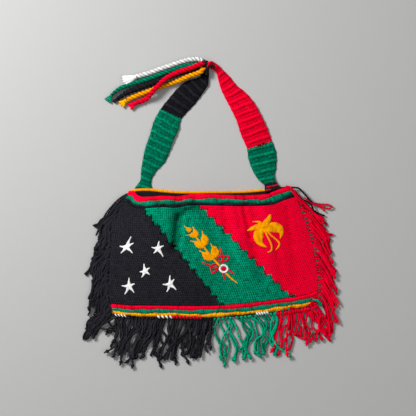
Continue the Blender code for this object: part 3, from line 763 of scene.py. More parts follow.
def spin_strands(name, strands, colour, sides=8, lobes=2, depth=0.07, turn=9.0, shade=painted_low_shade, seed=1,
                 unlike=0.30):
    """Mesh of dyed and twisted strands with painted shade on them, none of them below the surface. Each strand is its
    points and its radii in millimetres, and has plies that turn once in a length. No point turns it by more than
    MOST_TWIST."""
    strands = [(np.array(points, float), np.zeros(len(points)) + radii) for points, radii in strands]
    for points, radii in strands:
        points[:, 2] = np.maximum(points[:, 2], radii * (1 + depth))
    section = lobed_section(sides, lobes, depth)
    data = bpy.data.curves.new(name, "CURVE")
    data.dimensions = "3D"
    data.twist_mode = "MINIMUM"
    data.bevel_mode = "OBJECT"
    data.bevel_object = section
    data.use_fill_caps = True
    for points, radii in strands:
        spline = data.splines.new("POLY")
        spline.points.add(len(points) - 1)
        spline.points.foreach_set("co", np.column_stack((points * MM, np.ones(len(points)))).ravel())
        spline.points.foreach_set("radius", radii * MM)
        twist = np.clip(steps(points) / turn * math.tau, -MOST_TWIST, MOST_TWIST)
        spline.points.foreach_set("tilt", np.concatenate(([0.0], np.cumsum(twist))))
    path = bpy.data.objects.new(name, data)
    bpy.context.scene.collection.objects.link(section)
    bpy.context.scene.collection.objects.link(path)
    view = bpy.context.evaluated_depsgraph_get()
    mesh = bpy.data.meshes.new_from_object(path.evaluated_get(view), depsgraph=view)
    mesh.name = name
    for item in (path, section):
        curve = item.data
        bpy.data.objects.remove(item)
        bpy.data.curves.remove(curve)
    shade_and_dye_strands(mesh, strands, sides, lobes, colour, shade, seed, unlike)
    shape = bmesh.new()
    shape.from_mesh(mesh)
    bmesh.ops.remove_doubles(shape, verts=shape.verts[:], dist=WELD)
    face_outward(shape)
    shape.to_mesh(mesh)
    shape.free()
    smooth(mesh)
    return mesh


def frames(points):
    """Unit run, side and upward directions at each of a line's points."""
    run = np.gradient(points, axis=0)
    run /= np.linalg.norm(run, axis=1)[:, None]
    side = np.cross(UP, run)
    side /= np.linalg.norm(side, axis=1)[:, None]
    return run, side, np.cross(run, side)


def coil(centre, run, radius, strand, turns, length):
    """Knot: a strand wound round a line at a centre."""
    run = unit(np.asarray(run, float))
    side = np.cross(UP, run)
    side /= max(np.linalg.norm(side), 1e-6)
    lift = np.cross(run, side)
    t = np.linspace(0, 1, max(10, round(turns * 10)))
    angle = (t * turns * math.tau)[:, None]
    points = centre + run * ((t - 0.5) * length)[:, None] + (side * np.cos(angle) + lift * np.sin(angle)) * radius
    return points, strand


# ---------------------------------------------------------------- ties
# What is at a cord's end: a knot so far ahead of it and above it, and fans of cut ends
Knot = namedtuple("Knot", "ahead above radius strand turns length")
Fan = namedtuple("Fan", "start stop narrow wide height count radius")
ENDS = {
    "knot and tuft": (rows_of(Knot, (4.5, 0.6, 2.9, 2.3, 2.6, 6.5)),
                      rows_of(Fan, (6, 29, 3.6, 9.0, 6.4, 15, 1.9), (6, 28, 3.4, 8.6, 4.4, 14, 1.9),
                              (5, 26, 3.2, 8.0, 2.2, 12, 1.9))),
    "tuft": (rows_of(Knot, (3.4, 0.3, 3.0, 1.8, 2.2, 4.0)),
             rows_of(Fan, (3, 15.5, 1.6, 7.0, 5.5, 13, 1.4), (4, 14, 1.6, 6.0, 3.2, 10, 1.4))),
    "small tuft": (rows_of(Knot, (2.2, 0.0, 2.2, 1.4, 1.6, 3.0)), rows_of(Fan, (2, 15, 1.6, 6.8, 4.0, 9, 1.2))),
    "cut": ([], rows_of(Fan, (-1, 8, 1.6, 2.4, 4.0, 6, 1.1))),
}
# How each cord ends, how many degrees its end leans, how much thinner it grows over its last part, and how thick
# and bright it is for its yarn
Tie = namedtuple("Tie", "yarn route end turn fade girth bright")
TIES = [Tie("white", WHITE_ROUTE, "knot and tuft", 4, 0.0, 1.04, 0.84),
        Tie("green", GREEN_ROUTE, "small tuft", 11, 0.28, 1.0, 1.5),
        Tie("black", BLACK_ROUTE, "cut", 8, 0.30, 1.15, 1.25), Tie("red", RED_ROUTE, "tuft", 16, 0.0, 1.0, 1.1),
        Tie("yellow", YELLOW_ROUTE, "tuft", 14, 0.0, 1.0, 1.08)]
FADE_LENGTH = 30          # length of the part that grows thinner
STRAND_ORBIT = 0.25       # of a cord's thickness: how far off its middle its two strands run
STRAND_RADIUS = 0.31


def twisted(route, turn, thickness, fade):
    """Two fat strands twisted into a cord along a route."""
    points = even_points(route, 0.8)
    _, side, lift = frames(points)
    reach = reaches(points)
    narrow = 1 - fade * np.clip((reach - reach[-1] + FADE_LENGTH) / FADE_LENGTH, 0, 1)
    strands = []
    for k in range(2):
        angle = reach / turn * math.tau + math.pi * k
        offset = ((side * np.cos(angle)[:, None] + lift * np.sin(angle)[:, None])
                  * (thickness * STRAND_ORBIT * narrow)[:, None])
        strands.append((points + offset, thickness * STRAND_RADIUS * narrow))
    return strands


def cut_ends(foot, ahead, fan, rng):
    """Cut ends that spread from a foot along a direction, from a narrow half width to a wide one."""
    side = np.append(square(ahead), 0.0)
    strands = []
    for i in range(fan.count):
        across = (2 * (i + 0.5) / fan.count - 1) + rng.uniform(-0.1, 0.1)
        reach = fan.stop * (1 - 0.10 * rng.random())
        t = np.linspace(0, 1, 8)[:, None]
        rise = rng.uniform(0.8, 1.0) * fan.height
        points = (foot + ahead * (fan.start + (reach - fan.start) * t)
                  + side * across * (fan.narrow + (fan.wide - fan.narrow) * t)
                  + side * rng.uniform(-0.7, 0.7) * np.sin(math.pi * t))
        points[:, 2] = rise * (1 - t[:, 0]) + rng.uniform(0.65, 0.9) * fan.height * t[:, 0] + 0.6
        strands.append((points, fan.radius))
    return strands


def tie_end(tie, path, rng):
    """Strands of the knot and the cut ends at a cord's end."""
    run = path[-1] - path[-2]
    run[2] = 0
    lean = np.append(turned(unit(run), math.radians(tie.turn)), 0.0)
    foot = path[-1]
    knots, fans = ENDS[tie.end]
    strands = [coil(foot + lean * knot.ahead + UP * knot.above, lean, knot.radius, knot.strand, knot.turns,
                    knot.length) for knot in knots]
    for fan in fans:
        strands += cut_ends(foot * (1, 1, 0), lean, fan, rng)
    return strands


def make_ties():
    """Twisted cords with the knots and cut ends on them."""
    thickness, turn = sizes().cord / MM, sizes().cord_turn / MM
    rng = random.Random(11)
    for tie in TIES:
        finish = spun_finish(f"{tie.yarn}_cord_yarn")
        middle = even_points(tie.route, 1.5)

        def groove_painted_shade(place, middle=middle):
            """Painted shade in the groove between a cord's two strands, where less light reaches."""
            apart = np.min(np.linalg.norm(place[:, None] - middle[None], axis=2), axis=1)
            return 0.30 + 0.82 * np.clip((apart / thickness - 0.20) / 0.28, 0, 1)

        def high_end_painted_light(place):
            """Painted light: a little lighter for cut ends that lie high."""
            return 1.0 + 0.09 * np.clip(place[:, 2], 0, 5)

        colour = yarn(tie.yarn) * tie.bright
        mesh = spin_strands(f"cord_{tie.yarn}", twisted(tie.route, turn, thickness * tie.girth, tie.fade), colour,
                            sides=12, lobes=4, depth=0.05, turn=-12.0, shade=groove_painted_shade, seed=3)
        cord = add_piece(f"cord_{tie.yarn}", mesh, finish, f"{tie.yarn}_yarn", f"tie_{tie.yarn}")
        path = even_points(tie.route, 3.0)
        mesh = spin_strands(f"end_{tie.yarn}", tie_end(tie, path, rng), colour, sides=6, turn=5.0, shade=high_end_painted_light,
                            unlike=0.08)
        tuft = add_piece(f"end_{tie.yarn}", mesh, finish, f"{tie.yarn}_yarn", f"tuft_{tie.yarn}")


# ---------------------------------------------------------------- panels and borders
def stair_place(stair, y):
    """Where a stepped change of colour stands at heights: each step leans right, then jumps."""
    down = (stair.top_y - y) / stair.step_y
    whole = np.floor(down)
    return stair.top_x + stair.step_x * (whole + STEP_LEAN * (down - whole))


def stitch_chance(column, row, seed):
    """Number from 0 to 1 for each stitch, the same in each run. The factors only scatter it."""
    value = np.sin(column * 12.9898 + row * 78.233 + seed * 37.719) * 43758.5453
    return value - np.floor(value)


def fibre_chance(u, v):
    """Number from 0 to 1 for each small face of a piece, the same in each run."""
    return stitch_chance(u * 977, v * 771, 11)


# Painted shade of the three by three small faces of one stitch of the front, in rows from below: darker in the groove
# between its two legs, darkest at its eye
STITCH_PAINTED_SHADE = np.array(((1.02, 0.32, 0.98), (1.14, 0.50, 1.08), (1.16, 0.70, 1.12)))
# The front's fields: how bright each is for its yarn, how much painted shade its fold troughs and painted light its
# fold ridges get, and how strong its shades are
Field = namedtuple("Field", "yarn bright dip force")
FIELDS = rows_of(Field, ("black", 1.65, 0.05, 1.1), ("green", 1.80, 0.055, 1.3), ("red", 1.34, 0.10, 0.92))
BESIDE = rows_of(Place, (-1.5, 0), (1.5, 0), (0, -1.6), (0, 1.6))     # where a stitch looks for another field


def make_front():
    """Front panel: two legs and an eye for each stitch, with painted shade between the legs and in the eye, in three
    fields of colour. Each row starts a third of a stitch further left than the one below it."""
    columns, rows = round(CLOTH_WIDTH * MM / sizes().stitch), round(FRONT_HEIGHT * MM / sizes().stitch_row)
    relief = sizes().relief / MM

    def shares(u, v):
        low, high = up_from_base(BASE_BORDER + GAP)(u), down_from_rim(MOUTH_BORDER + GAP)(u)
        return u, low + (high - low) * v

    def thickness(u, v):
        across, up = np.rint(u * columns * 3), np.rint(v * rows * 3)
        leg = np.where((across + up // 3) % 3 == 0, 0.0, 1.0) * np.where(up % 3 == 0, 0.85, 1.0)
        uneven = stitch_chance(across, up, 1) - 0.5
        return CLOTH - 0.5 + relief * (leg + 0.5 * uneven)

    def dye(u, v):
        row = np.floor(v * rows)
        third = np.floor(u * columns * 3) + row
        column = np.floor(third / 3)
        middle_u, middle_v = (column + 0.5 - row / 3) / columns, (row + 0.5) / rows
        x, y = front_place(*shares(np.clip(0.3 * u + 0.7 * middle_u, 0, 1), 0.3 * v + 0.7 * middle_v))[:, :2].T
        x = x + 2.6 * (stitch_chance(column, row, 3) - 0.5)
        y = y + 2.6 * (stitch_chance(column, row, 2) - 0.5)

        def field_at(x, y):
            red = (x > stair_place(GREEN_TO_RED, y)) & ((x > GREEN_FOOT.x) | (y > GREEN_FOOT.y))
            return 1 * (x > stair_place(BLACK_TO_GREEN, y)) + 1 * red

        field = field_at(x, y)
        # Stitches next to another field, where shade is painted along the boundary
        turn = np.any([field_at(x + step.x, y + step.y) != field for step in BESIDE], axis=0)
        shades = np.array([yarn(kind.yarn) * kind.bright for kind in FIELDS])
        fold_shades, forces = np.array([(kind.dip, kind.force) for kind in FIELDS]).T
        # Painted shade of the small faces of each stitch
        small = STITCH_PAINTED_SHADE[(np.floor(v * rows * 3) % 3).astype(int), (third % 3).astype(int)]
        uneven = 0.86 + 0.34 * stitch_chance(column, row, 4) + 0.44 * (fibre_chance(u, v) - 0.5)
        # Painted shade in a few deeper stitch holes and along the boundaries between colour fields
        hole_and_boundary_shade = np.where(stitch_chance(column, row, 12) < 0.07, 0.80, 1.0) * np.where(turn, 0.40, 1.0)
        # Painted shade in the troughs of the folds and painted light on their ridges
        dip = fold_shades[field] * fold_rise(np.column_stack((x, y)))
        tone = small * uneven * hole_and_boundary_shade * np.clip(1 + dip, 0.60, 1.14)
        return np.clip(shades[field] * (1 + forces[field] * (tone - 1) + 0.06)[:, None], 0, 1)

    return crochet("front_cloth", columns * 3, rows * 3, lambda u, v: front_place(*shares(u, v)), thickness, dye,
                   lambda u, v: (u * columns, v * rows), crochet_finish("front_crochet", 0.08),
                   "front_panel", "front_panel")


def make_back():
    """Back panel: plain black crochet, flat on the surface."""
    columns, rows = round(CLOTH_WIDTH * MM / sizes().stitch), round(BACK_HEIGHT * MM / sizes().stitch_row)

    def underside(u, v):
        top = 1 - (BACK_BORDER + GAP) / pouch_height(BACK_RIM, u)
        return np.column_stack((pouch_plan(BACK_RIM, u, v * top), np.zeros(len(u))))

    def thickness(u, v):
        across, up = np.rint(u * columns * 2), np.rint(v * rows * 2)
        return CLOTH - 0.6 + 0.5 * (across % 2) + 0.25 * stitch_chance(across, up, 6)

    def dye(u, v):
        uneven = 0.7 + 0.5 * stitch_chance(np.floor(u * columns * 2), np.floor(v * rows * 2), 7)
        return yarn("black") * 1.3 * uneven[:, None]

    return crochet("back_cloth", columns * 2, rows * 2, underside, thickness, dye,
                   lambda u, v: (u * columns, v * rows), crochet_finish("back_crochet", 0.4), "back_panel",
                   "back_panel")


def row_place(table, depth, run, stitch, seed, waver):
    """Which row of a border, and how far across it, at depths up from its low edge and distances along it. The
    stitches' tops reach into the next row, so each row has teeth, and its width changes a little along it."""
    widths = np.array([row.width for row in table], float)
    edges = np.concatenate(([0.0], np.cumsum(widths)))
    uneven = stitch_chance(np.floor(run / stitch), np.floor(depth / 5 + 0.4), 8) - 0.5
    slow = waver * (0.5 * np.sin(run / 17 + seed + depth / 5) + 0.35 * np.sin(run / 6.1 + 2 * seed - depth / 4))
    teeth = 1.1 * (np.abs(np.sin(math.pi * run / stitch)) - 0.6) + 1.2 * uneven + slow
    inside = np.clip(depth / 3, 0, 1) * np.clip((edges[-1] - depth) / 3, 0, 1)
    reach = depth + teeth * inside
    index = np.clip(np.searchsorted(edges, reach, side="right") - 1, 0, len(table) - 1)
    return index, np.clip((reach - edges[index]) / widths[index], 0, 1)


def plumpness(share, index, run, stitch):
    """How plump a border is: a rounded ridge along each row, made of stitches that lean one way, then the other."""
    ridge = np.sin(math.pi * share) ** 0.6
    lean = (run + (share - 0.5) * 2.6 * np.where(index % 2, 1, -1)) / stitch
    return ridge, np.abs(np.cos(math.pi * lean)) ** 0.7


ROW_BRIGHT = {"black": 1.5, "green": 1.6, "red": 1.3, "yellow": 1.2}      # how bright a row is for its yarn


def make_border(name, table, low, high, length, slot, node, waver, ends=None):
    """Rows of plump stitches along one edge of the front, from a low to a high distance up the pouch at each share
    of its width. They waver more or less. Ends change the colours near the ends of the rows."""
    stitch = sizes().border_stitch / MM
    total = sum(row.width for row in table)
    columns, rows = round(length / stitch * 4), round(total / STEP_ALONG)
    shades = np.array([yarn(row.yarn) * ROW_BRIGHT[row.yarn] for row in table])

    def place(u, v):
        index, share = row_place(table, v * total, u * length, stitch, len(name), waver)
        ridge, plump = plumpness(share, index, u * length, stitch)
        return index, ridge, plump

    def underside(u, v):
        return front_place(u, low(u) + (high(u) - low(u)) * v)

    def thickness(u, v):
        index, ridge, plump = place(u, v)
        edge = np.minimum(1, 0.75 + 12 * np.minimum(u, 1 - u))
        uneven = 0.7 * stitch_chance(np.floor(u * length / stitch), index, 14)
        return edge * (CLOTH - 1.3 + ridge * (1.3 + 1.1 * plump) + uneven)

    def dye(u, v):
        index, ridge, plump = place(u, v)
        cell = np.floor(u * length / stitch), index
        uneven = (0.82 + 0.40 * stitch_chance(*cell, 9)) * (0.82 + 0.36 * fibre_chance(u, v))
        uneven *= np.where(stitch_chance(*cell, 15) < 0.10, 0.62, 1.0)
        patches = np.sin(u * length / 5.3 + index * 2) + np.sin(u * length / 8.9 + index)
        uneven *= 1 - 0.30 * np.clip(patches - 0.9, 0, 1)
        # Painted shade in the grooves between rows and between stitches, painted light on their rounded tops
        tone = (0.42 + 0.84 * ridge * (0.50 + 0.50 * plump)) * uneven
        colours = shades[index]
        if ends:
            colours = ends(u, v * total, colours, index)
        return np.clip(colours * tone[:, None], 0, 1)

    return crochet(name, columns, rows, underside, thickness, dye,
                   lambda u, v: (u * length / stitch, v * total / 4.0), crochet_finish(f"{name}_crochet", 0.15),
                   slot, node)


def base_ends(u, depth, colours, index):
    """Where the base rows change: the closing row takes the colour of the fringe below it, and the yellow and the
    green row end in red."""
    closing = index == 0
    colours = np.where((closing & (u > 0.69) & (u < 0.79))[:, None], yarn("green") * 0.7, colours)
    colours = np.where((closing & (u >= 0.79))[:, None], yarn("red") * 0.8, colours)
    point = (index == 1) & (u > 0.958 - 0.004 * np.abs(depth - 6)) | (index == 2) & (u > 0.968)
    return np.where(point[:, None], yarn("red") * 0.9, colours)


def make_edge_stitches():
    """Slanted single stitches of other yarn that show under the base rows."""
    edge = along(BASE_EDGE, np.linspace(0, 1, 400))
    for colour in ("white", "red", "green"):
        strands = []
        for stitches in EDGE_STITCHES:
            if stitches.yarn == colour:
                for x in np.linspace(stitches.start_x, stitches.stop_x, stitches.count):
                    y = np.interp(x, edge[:, 0], edge[:, 1])
                    strands.append((EDGE_STITCH + (x, y, 0), stitches.size * EDGE_STITCH_GIRTH))
        if colour == "green":
            strands.append((even_points(GREEN_TAIL, 1.5), 2.2))
            strands.append(coil(np.array((204.2, -102.6, 6.5)), (0.7, -0.7, 0), 2.0, 1.6, 1.6, 3.0))
        name = f"edge_stitches_{colour}"
        dye = yarn(colour) * (2.0 if colour == "green" else 1.5)
        add_piece(name, spin_strands(name, strands, dye, seed=41), spun_finish(f"{name}_yarn"), f"{colour}_yarn")


def make_back_border():
    """Yellow row along the back rim, black at its right end."""
    length, stitch = BACK_LENGTH, sizes().border_stitch / MM

    def underside(u, v):
        plan = pouch_plan(BACK_RIM, u, 1 - (BACK_BORDER * (1 - v) - 0.8 * v) / pouch_height(BACK_RIM, u))
        return np.column_stack((plan, np.zeros(len(u))))

    def plump(u, v):
        return np.abs(np.cos(math.pi * (u * length + 2.6 * v) / stitch)) ** 0.7

    def thickness(u, v):
        full = CLOTH + (ROWS_THICK - CLOTH + 0.4) * np.minimum(1, np.minimum(12 * u, 12 * (1 - u)))
        return full * (0.62 + 0.38 * np.sin(math.pi * v) ** 0.6) - 0.7 + 0.9 * plump(u, v)

    def dye(u, v):
        # Painted shade along the row's edges and between its stitches
        tone = (0.60 + 0.50 * np.sin(math.pi * v) ** 0.6 * (0.4 + 0.6 * plump(u, v)))
        tone *= 0.84 + 0.32 * stitch_chance(np.floor(u * length / stitch), 0, 10)
        colours = np.where((u < 0.86)[:, None], yarn("yellow") * 1.1, yarn("black") * 1.5)
        return np.clip(colours * tone[:, None], 0, 1)

    return crochet("back_row", round(length / stitch * 4), 8, underside, thickness, dye,
                   lambda u, v: (u * length / stitch, v * 1.5), crochet_finish("back_row_crochet", 0.15),
                   "yellow_yarn", "mouth_border_back")


# ---------------------------------------------------------------- embroidery
def front_height():
    """Finder of the front panel's upper side at a plan position."""
    shape = bmesh.new()
    made = bmesh.ops.create_grid(shape, x_segments=90, y_segments=60, size=0.5)["verts"]
    spots = front_place(*np.clip(np.array([vertex.co[:2] for vertex in made]) + 0.5, 0, 1).T)
    for vertex, spot in zip(made, spots):
        vertex.co = spot
    tree = BVHTree.FromBMesh(shape)
    shape.free()

    def height(x, y):
        hit = tree.ray_cast(Vector((x, y, 100)), Vector((0, 0, -1)))[0]
        return (hit.z if hit else CLOTH) + CLOTH
    return height


LANES = 8                 # threads side by side in a stroke
STROKE_STEP = 1.3         # length of one small face along a stroke
WIDE_STROKE = 5           # width above which a stroke's edges are uneven
SHADED_EDGE_WIDTH = 4            # width above which their edges get painted shade
SINK = 1.2                # how far a stroke reaches down into the cloth


def lay_stroke(shape, touches, height, rise, seed):
    """One stroke of laid threads: a low rounded band through its touches that follows the cloth, with painted shade
    at its edges and threads of uneven tone along it."""
    tone, number = shape.verts.layers.float["tone"], shape.verts.layers.int["number"]
    line = even_points(touches, STROKE_STEP)
    run = np.gradient(line[:, :2], axis=0)
    run /= np.linalg.norm(run, axis=1)[:, None]
    side = square(run)
    count = len(line) - 1
    made = bmesh.ops.create_grid(shape, x_segments=count, y_segments=LANES, size=0.5)["verts"]
    top = extrude(shape, list(dict.fromkeys(face for vertex in made for face in vertex.link_faces)))
    for vertex, level in [(vertex, 0) for vertex in made] + [(vertex, 1) for vertex in top]:
        i = min(max(round((vertex.co.x + 0.5) * count), 0), count)
        lane = round((vertex.co.y + 0.5) * LANES)
        across = vertex.co.y * 2
        uneven = 0.13 if line[i, 2] > WIDE_STROKE else 0.0
        width = max(line[i, 2], 0.8) * (1 + uneven * float(stitch_chance(i, seed, 16) - 0.5))
        x, y = line[i, :2] + side[i] * (math.sin(across * math.pi / 2) * width / 2)
        # Wide strokes get painted shade at their edges
        edge = max(abs(across) - 0.70, 0) / 0.30 if width > SHADED_EDGE_WIDTH else 0.0
        thread = float(stitch_chance(lane + seed * 7, i // 4, 13))
        vertex[tone], vertex[number] = (0.70 + 0.60 * thread) * (1 - 0.22 * edge), seed
        crown = min(rise, width * 0.55) * math.cos(across * math.pi / 2) ** 0.8 if abs(across) < 1 else 0.0
        vertex.co = (x, y, height(x, y) + (crown + 0.25 + 0.25 * (thread - 0.5) if level else -SINK))


THREAD_SLANT = np.array(((0.6, 0.8), (-0.8, 0.6)))
THREAD_WIDTH = 0.9


def stroke_mesh(name, strokes, height, rise):
    """Mesh of many strokes, with the yarn of each. Strokes that follow each other lie at different heights."""
    shape = bmesh.new()
    tone, number = shape.verts.layers.float.new("tone"), shape.verts.layers.int.new("number")
    for i, (touches, _) in enumerate(strokes):
        lay_stroke(shape, touches, height, rise + 0.05 * (i % 7), i)
    bmesh.ops.recalc_face_normals(shape, faces=shape.faces[:])
    face_outward(shape)
    order_faces(shape)
    dyes = np.array([yarn(colour) for _, colour in strokes])
    colours = dyes[[face.verts[0][number] for face in shape.faces]]
    tones = np.array([vertex[tone] for vertex in shape.verts])
    data = bpy.data.meshes.new(name)
    shape.to_mesh(data)
    shape.free()
    place = places(data.vertices, "co")
    paint(data, colours, place[:, :2] @ THREAD_SLANT / THREAD_WIDTH, tones)
    data.vertices.foreach_set("co", (place * MM).ravel())
    smooth(data)
    return data


def make_embroidery():
    """Stars, bird, leaf sprig, ring and bow, in laid threads."""
    strokes = []
    for star in STARS:
        for arm in star.arms:
            angle = math.radians(arm.angle)
            ahead = np.array((math.cos(angle), math.sin(angle)))
            centre, reach = np.array((star.x, star.y)), ahead * arm.length
            strokes.append(([Touch(*(centre - ahead), 7.6), Touch(*(centre + reach * 0.28), 6.2),
                             Touch(*(centre + reach * 0.60 + square(ahead) * 0.5), 3.4),
                             Touch(*(centre + reach), 1.8)], "white"))
    strokes += [(part, "yellow") for part in BIRD + SPRIG] + [(part, "red") for part in BOW]
    turn = np.linspace(0, math.tau * 1.02, 25)
    strokes.append(([Touch(RING.x + RING.half_width * math.cos(a), RING.y + RING.half_height * math.sin(a),
                           RING.stroke) for a in turn], "white"))
    strokes.append(([Touch(RING.x - 4.8, RING.y - 0.8, 5.0), Touch(RING.x, RING.y, 8.0),
                     Touch(RING.x + 4.8, RING.y + 0.8, 5.0)], "red"))
    data = stroke_mesh("embroidery", strokes, front_height(), sizes().embroidery / MM)
    return add_piece("embroidery", data, thread_finish("laid_threads"), "front_panel")


# ---------------------------------------------------------------- strap
def leg_run(sections, angles):
    """For even shares down a leg: the length down its middle, and how much further down its right edge lies than its
    left, square to ridges at angles in degrees from the top of the leg to its foot."""
    share = np.linspace(0, 1, 120)
    rows = along(sections, share)
    middle, across = (rows[:, :2] + rows[:, 2:4]) / 2, rows[:, 2:4] - rows[:, :2]
    down = reaches(middle)
    angle = np.radians(np.interp(share, np.linspace(0, 1, len(angles)), angles))
    return down, across[:, 0] * np.sin(angle) - across[:, 1] * np.cos(angle)


POSTS = 15                # tall stitches across a leg


def make_leg(name, sections, upper, joint, slot, node, seed, angles):
    """Ridged leg of the strap, green below and another yarn above: smooth raised ridges slanted across it, with
    dotted bands of tall stitches between them. Its creases and the holes between the posts get painted shade, and its
    ridges painted light."""
    down, skew = leg_run(sections, angles)
    change = row_share(sections, joint)

    def phase(u, v):
        share = np.linspace(0, 1, len(down))
        place = np.interp(v, share, down) + (u - 0.5) * np.interp(v, share, skew)
        sway = (0.10 * np.sin(v * 9 + seed) + 0.10 * (u - 0.5) * np.sin(v * 17 + seed * 2)
                + 0.02 * np.sin(u * 9 + v * 23))
        return 8 + place / RIDGE_PITCH + sway

    def pair(u, v):
        """How near a smooth ridge and the creases beside it are, from 0 to 1, and whether this is the dotted band."""
        apart = phase(u, v) % 1.0
        ridge = np.minimum(1.5 * np.exp(-((apart - 0.23) / 0.18) ** 2), 1)
        crease = np.exp(-((apart - 0.46) / 0.045) ** 2) + 0.4 * np.exp(-(np.minimum(apart, 1 - apart) / 0.045) ** 2)
        return ridge, crease, (apart > 0.50) & (apart < 0.96)

    def post(u, v):
        return np.abs(np.cos(math.pi * (u * POSTS + 0.2 * np.sin(v * 40))))

    def underside(u, v):
        row = along(sections, v)
        across = 0.5 + 0.86 * (u - 0.5) + 1.12 * (u - 0.5) ** 3 / 2
        ridge, crease, _ = pair(u, v)
        across = across + (2 * u - 1) ** 3 * (0.012 * ridge - 0.006 * crease)
        spot = row[:, :2] * (1 - across[:, None]) + row[:, 2:4] * across[:, None]
        return np.column_stack((spot, np.maximum(row[:, 4], 0)))

    def thickness(u, v):
        ridge, crease, _ = pair(u, v)
        inside = 1 - (2 * u - 1) ** 6
        return ((0.45 + 0.55 * inside) * (STRAP_THICK - 0.5)
                + (0.15 + 0.85 * inside) * (1.5 * ridge - 1.3 * crease + 0.6 * post(u, v)))

    def dye(u, v):
        ridge, crease, dotted = pair(u, v)
        cell = np.floor(u * POSTS), np.floor(phase(u, v) * 4)
        edge = change + 0.005 * wave(u * POSTS / 2)
        first = v < edge
        colours = np.where(first[:, None], yarn(upper) * (1.0 if upper == "black" else 1.05), yarn("green") * 1.25)
        if upper == "red":
            some = stitch_chance(np.floor(u * POSTS * 1.5), np.floor(v * 170), 21) > 0.45
            mend = (np.abs(v - edge - 0.004) < 0.010) & (u > 0.34) & (u < 0.80) & some
            colours = np.where(mend[:, None], yarn("black"), colours)
        between = np.floor(u * POSTS * 3) % 3 == 1
        level = np.floor((phase(u, v) % 1.0) * 15)
        low = np.isin(level, (8, 9, 12, 13)) & (stitch_chance(*cell, seed + 5) > 0.12)
        # Painted shade in the holes between the posts of the dotted bands
        eye = np.where(between & dotted & low, 0.14, np.where(dotted, 0.96, 1.04))
        uneven = (0.74 + 0.52 * stitch_chance(*cell, seed)) * (0.60 + 0.80 * fibre_chance(u, v))
        # Painted shade in the creases and painted light on the ridges
        raised = np.where(first & (upper == "black"), 0.5, 0.30)
        tone = (0.88 - 0.54 * crease + raised * ridge) * eye * uneven
        tone = np.where(first & (upper == "red"), 1 + 0.65 * (tone - 1), tone)
        return np.clip(colours * tone[:, None], 0, 1)

    return crochet(name, POSTS * 3, round(down[-1] / STEP_ALONG), underside, thickness, dye,
                   lambda u, v: (u * POSTS, phase(u, v) * 4), crochet_finish(f"{name}_crochet", 0.3, blotch=0.9),
                   slot, node)


def make_cuff():
    """Black cuff with a red line, at the foot of the right leg."""
    def underside(u, v):
        row = along(CUFF, v)
        spot = row[:, :2] * (1 - u[:, None]) + row[:, 2:4] * u[:, None]
        return np.column_stack((spot, row[:, 4]))

    def thickness(u, v):
        edge = 0.6 + 0.4 * (1 - (2 * u - 1) ** 6)
        return edge * (STRAP_THICK - 0.3 + 0.5 * np.cos(math.tau * v * 3) * np.cos(math.tau * u * 8))

    def dye(u, v):
        line = (np.abs(v - 0.45 + 0.10 * u + 0.04 * wave(u * 6)) < 0.055) & (u > 0.12)
        second = (np.abs(v - 0.80 + 0.04 * wave(u * 6)) < 0.05) & (u > 0.05) & (u < 0.40)
        rough = 0.6 + 0.9 * stitch_chance(np.floor(u * 16), np.floor(v * 12), 31)
        return np.where((line | second)[:, None], yarn("red"), yarn("black") * 1.3) * rough[:, None].clip(0, 1.2)

    return crochet("cuff", 40, 24, underside, thickness, dye, lambda u, v: (u * 8, v * 6),
                   crochet_finish("cuff_crochet", 0.35), "strap_cuff", "strap_cuff")


NECK_STRANDS = 13
NECK_STITCHES = rows_of(
    Place, (-10.5, 353), (-7.6, 346.6), (-6, 353.4), (-3.4, 345.4), (-1.6, 351.6), (1.2, 345.8), (3, 350.2))


def make_neck():
    """Gathered joint where both legs meet: black yarn drawn together, and black stitches over the tip of the red
    leg that lies on it."""
    rng = random.Random(5)
    low, high = (np.array(corner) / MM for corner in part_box("strap_neck"))
    middle = np.array((low[0] + 4.8, 0, (low[2] + high[2]) / 2))
    strands = []
    for i in range(NECK_STRANDS):
        angle = math.tau * i / NECK_STRANDS
        t = np.linspace(0, 1, 12)
        girth = 0.75 + 0.25 * np.sin(math.pi * t) - 0.35 * np.clip((t - 0.75) / 0.25, 0, 1)
        sway = 0.25 * np.sin(math.tau * t + angle)
        points = np.column_stack((middle[0] + np.cos(angle + sway) * girth * 3.0,
                                  low[1] - 5 + t * (high[1] - low[1] + 4),
                                  np.maximum(1.8, middle[2] - 1.5 + np.sin(angle + sway) * girth * 5.6)))
        strands.append((points, 1.6 + 0.3 * rng.random()))
    points = np.array([(spot.x, spot.y, 14.2 - 0.36 * (spot.x + 10.5)) for spot in NECK_STITCHES])
    strands.append((even_points(points, 1.0), 0.9))
    strands.append((even_points(points[1:] + (0.8, -2.4, 0.2), 1.0), 0.8))
    # Painted shade: the neck's strands darker the lower they lie
    return add_piece("neck", spin_strands("neck", strands, yarn("black") * 1.3, turn=8.0,
                                          shade=lambda place: 0.7 + 0.03 * place[:, 2]), spun_finish("neck_yarn"),
                     "strap_neck", "strap_neck")


# ---------------------------------------------------------------- fringes
def bezier(points, share):
    """Points of a cubic through two ends and two leads."""
    t = np.asarray(share, float)[:, None]
    a, b, c, d = (np.asarray(point, float) for point in points)
    return a * (1 - t) ** 3 + b * 3 * t * (1 - t) ** 2 + c * 3 * t ** 2 * (1 - t) + d * t ** 3


def settle(plan, start, rng):
    """Add heights to a strand's plan: down from its knot, then in the lower or the upper layer of strands."""
    t = np.linspace(0, 1, len(plan))
    rest = rng.choice((rng.uniform(1.6, 2.8), rng.uniform(3.6, 5.4)))
    lie = rest + 0.9 * np.sin(t * rng.uniform(7, 15) + rng.uniform(0, 6))
    fall = np.exp(-t * 7)
    return np.column_stack((plan, np.maximum(1.45, lie * (1 - fall) + start * fall)))


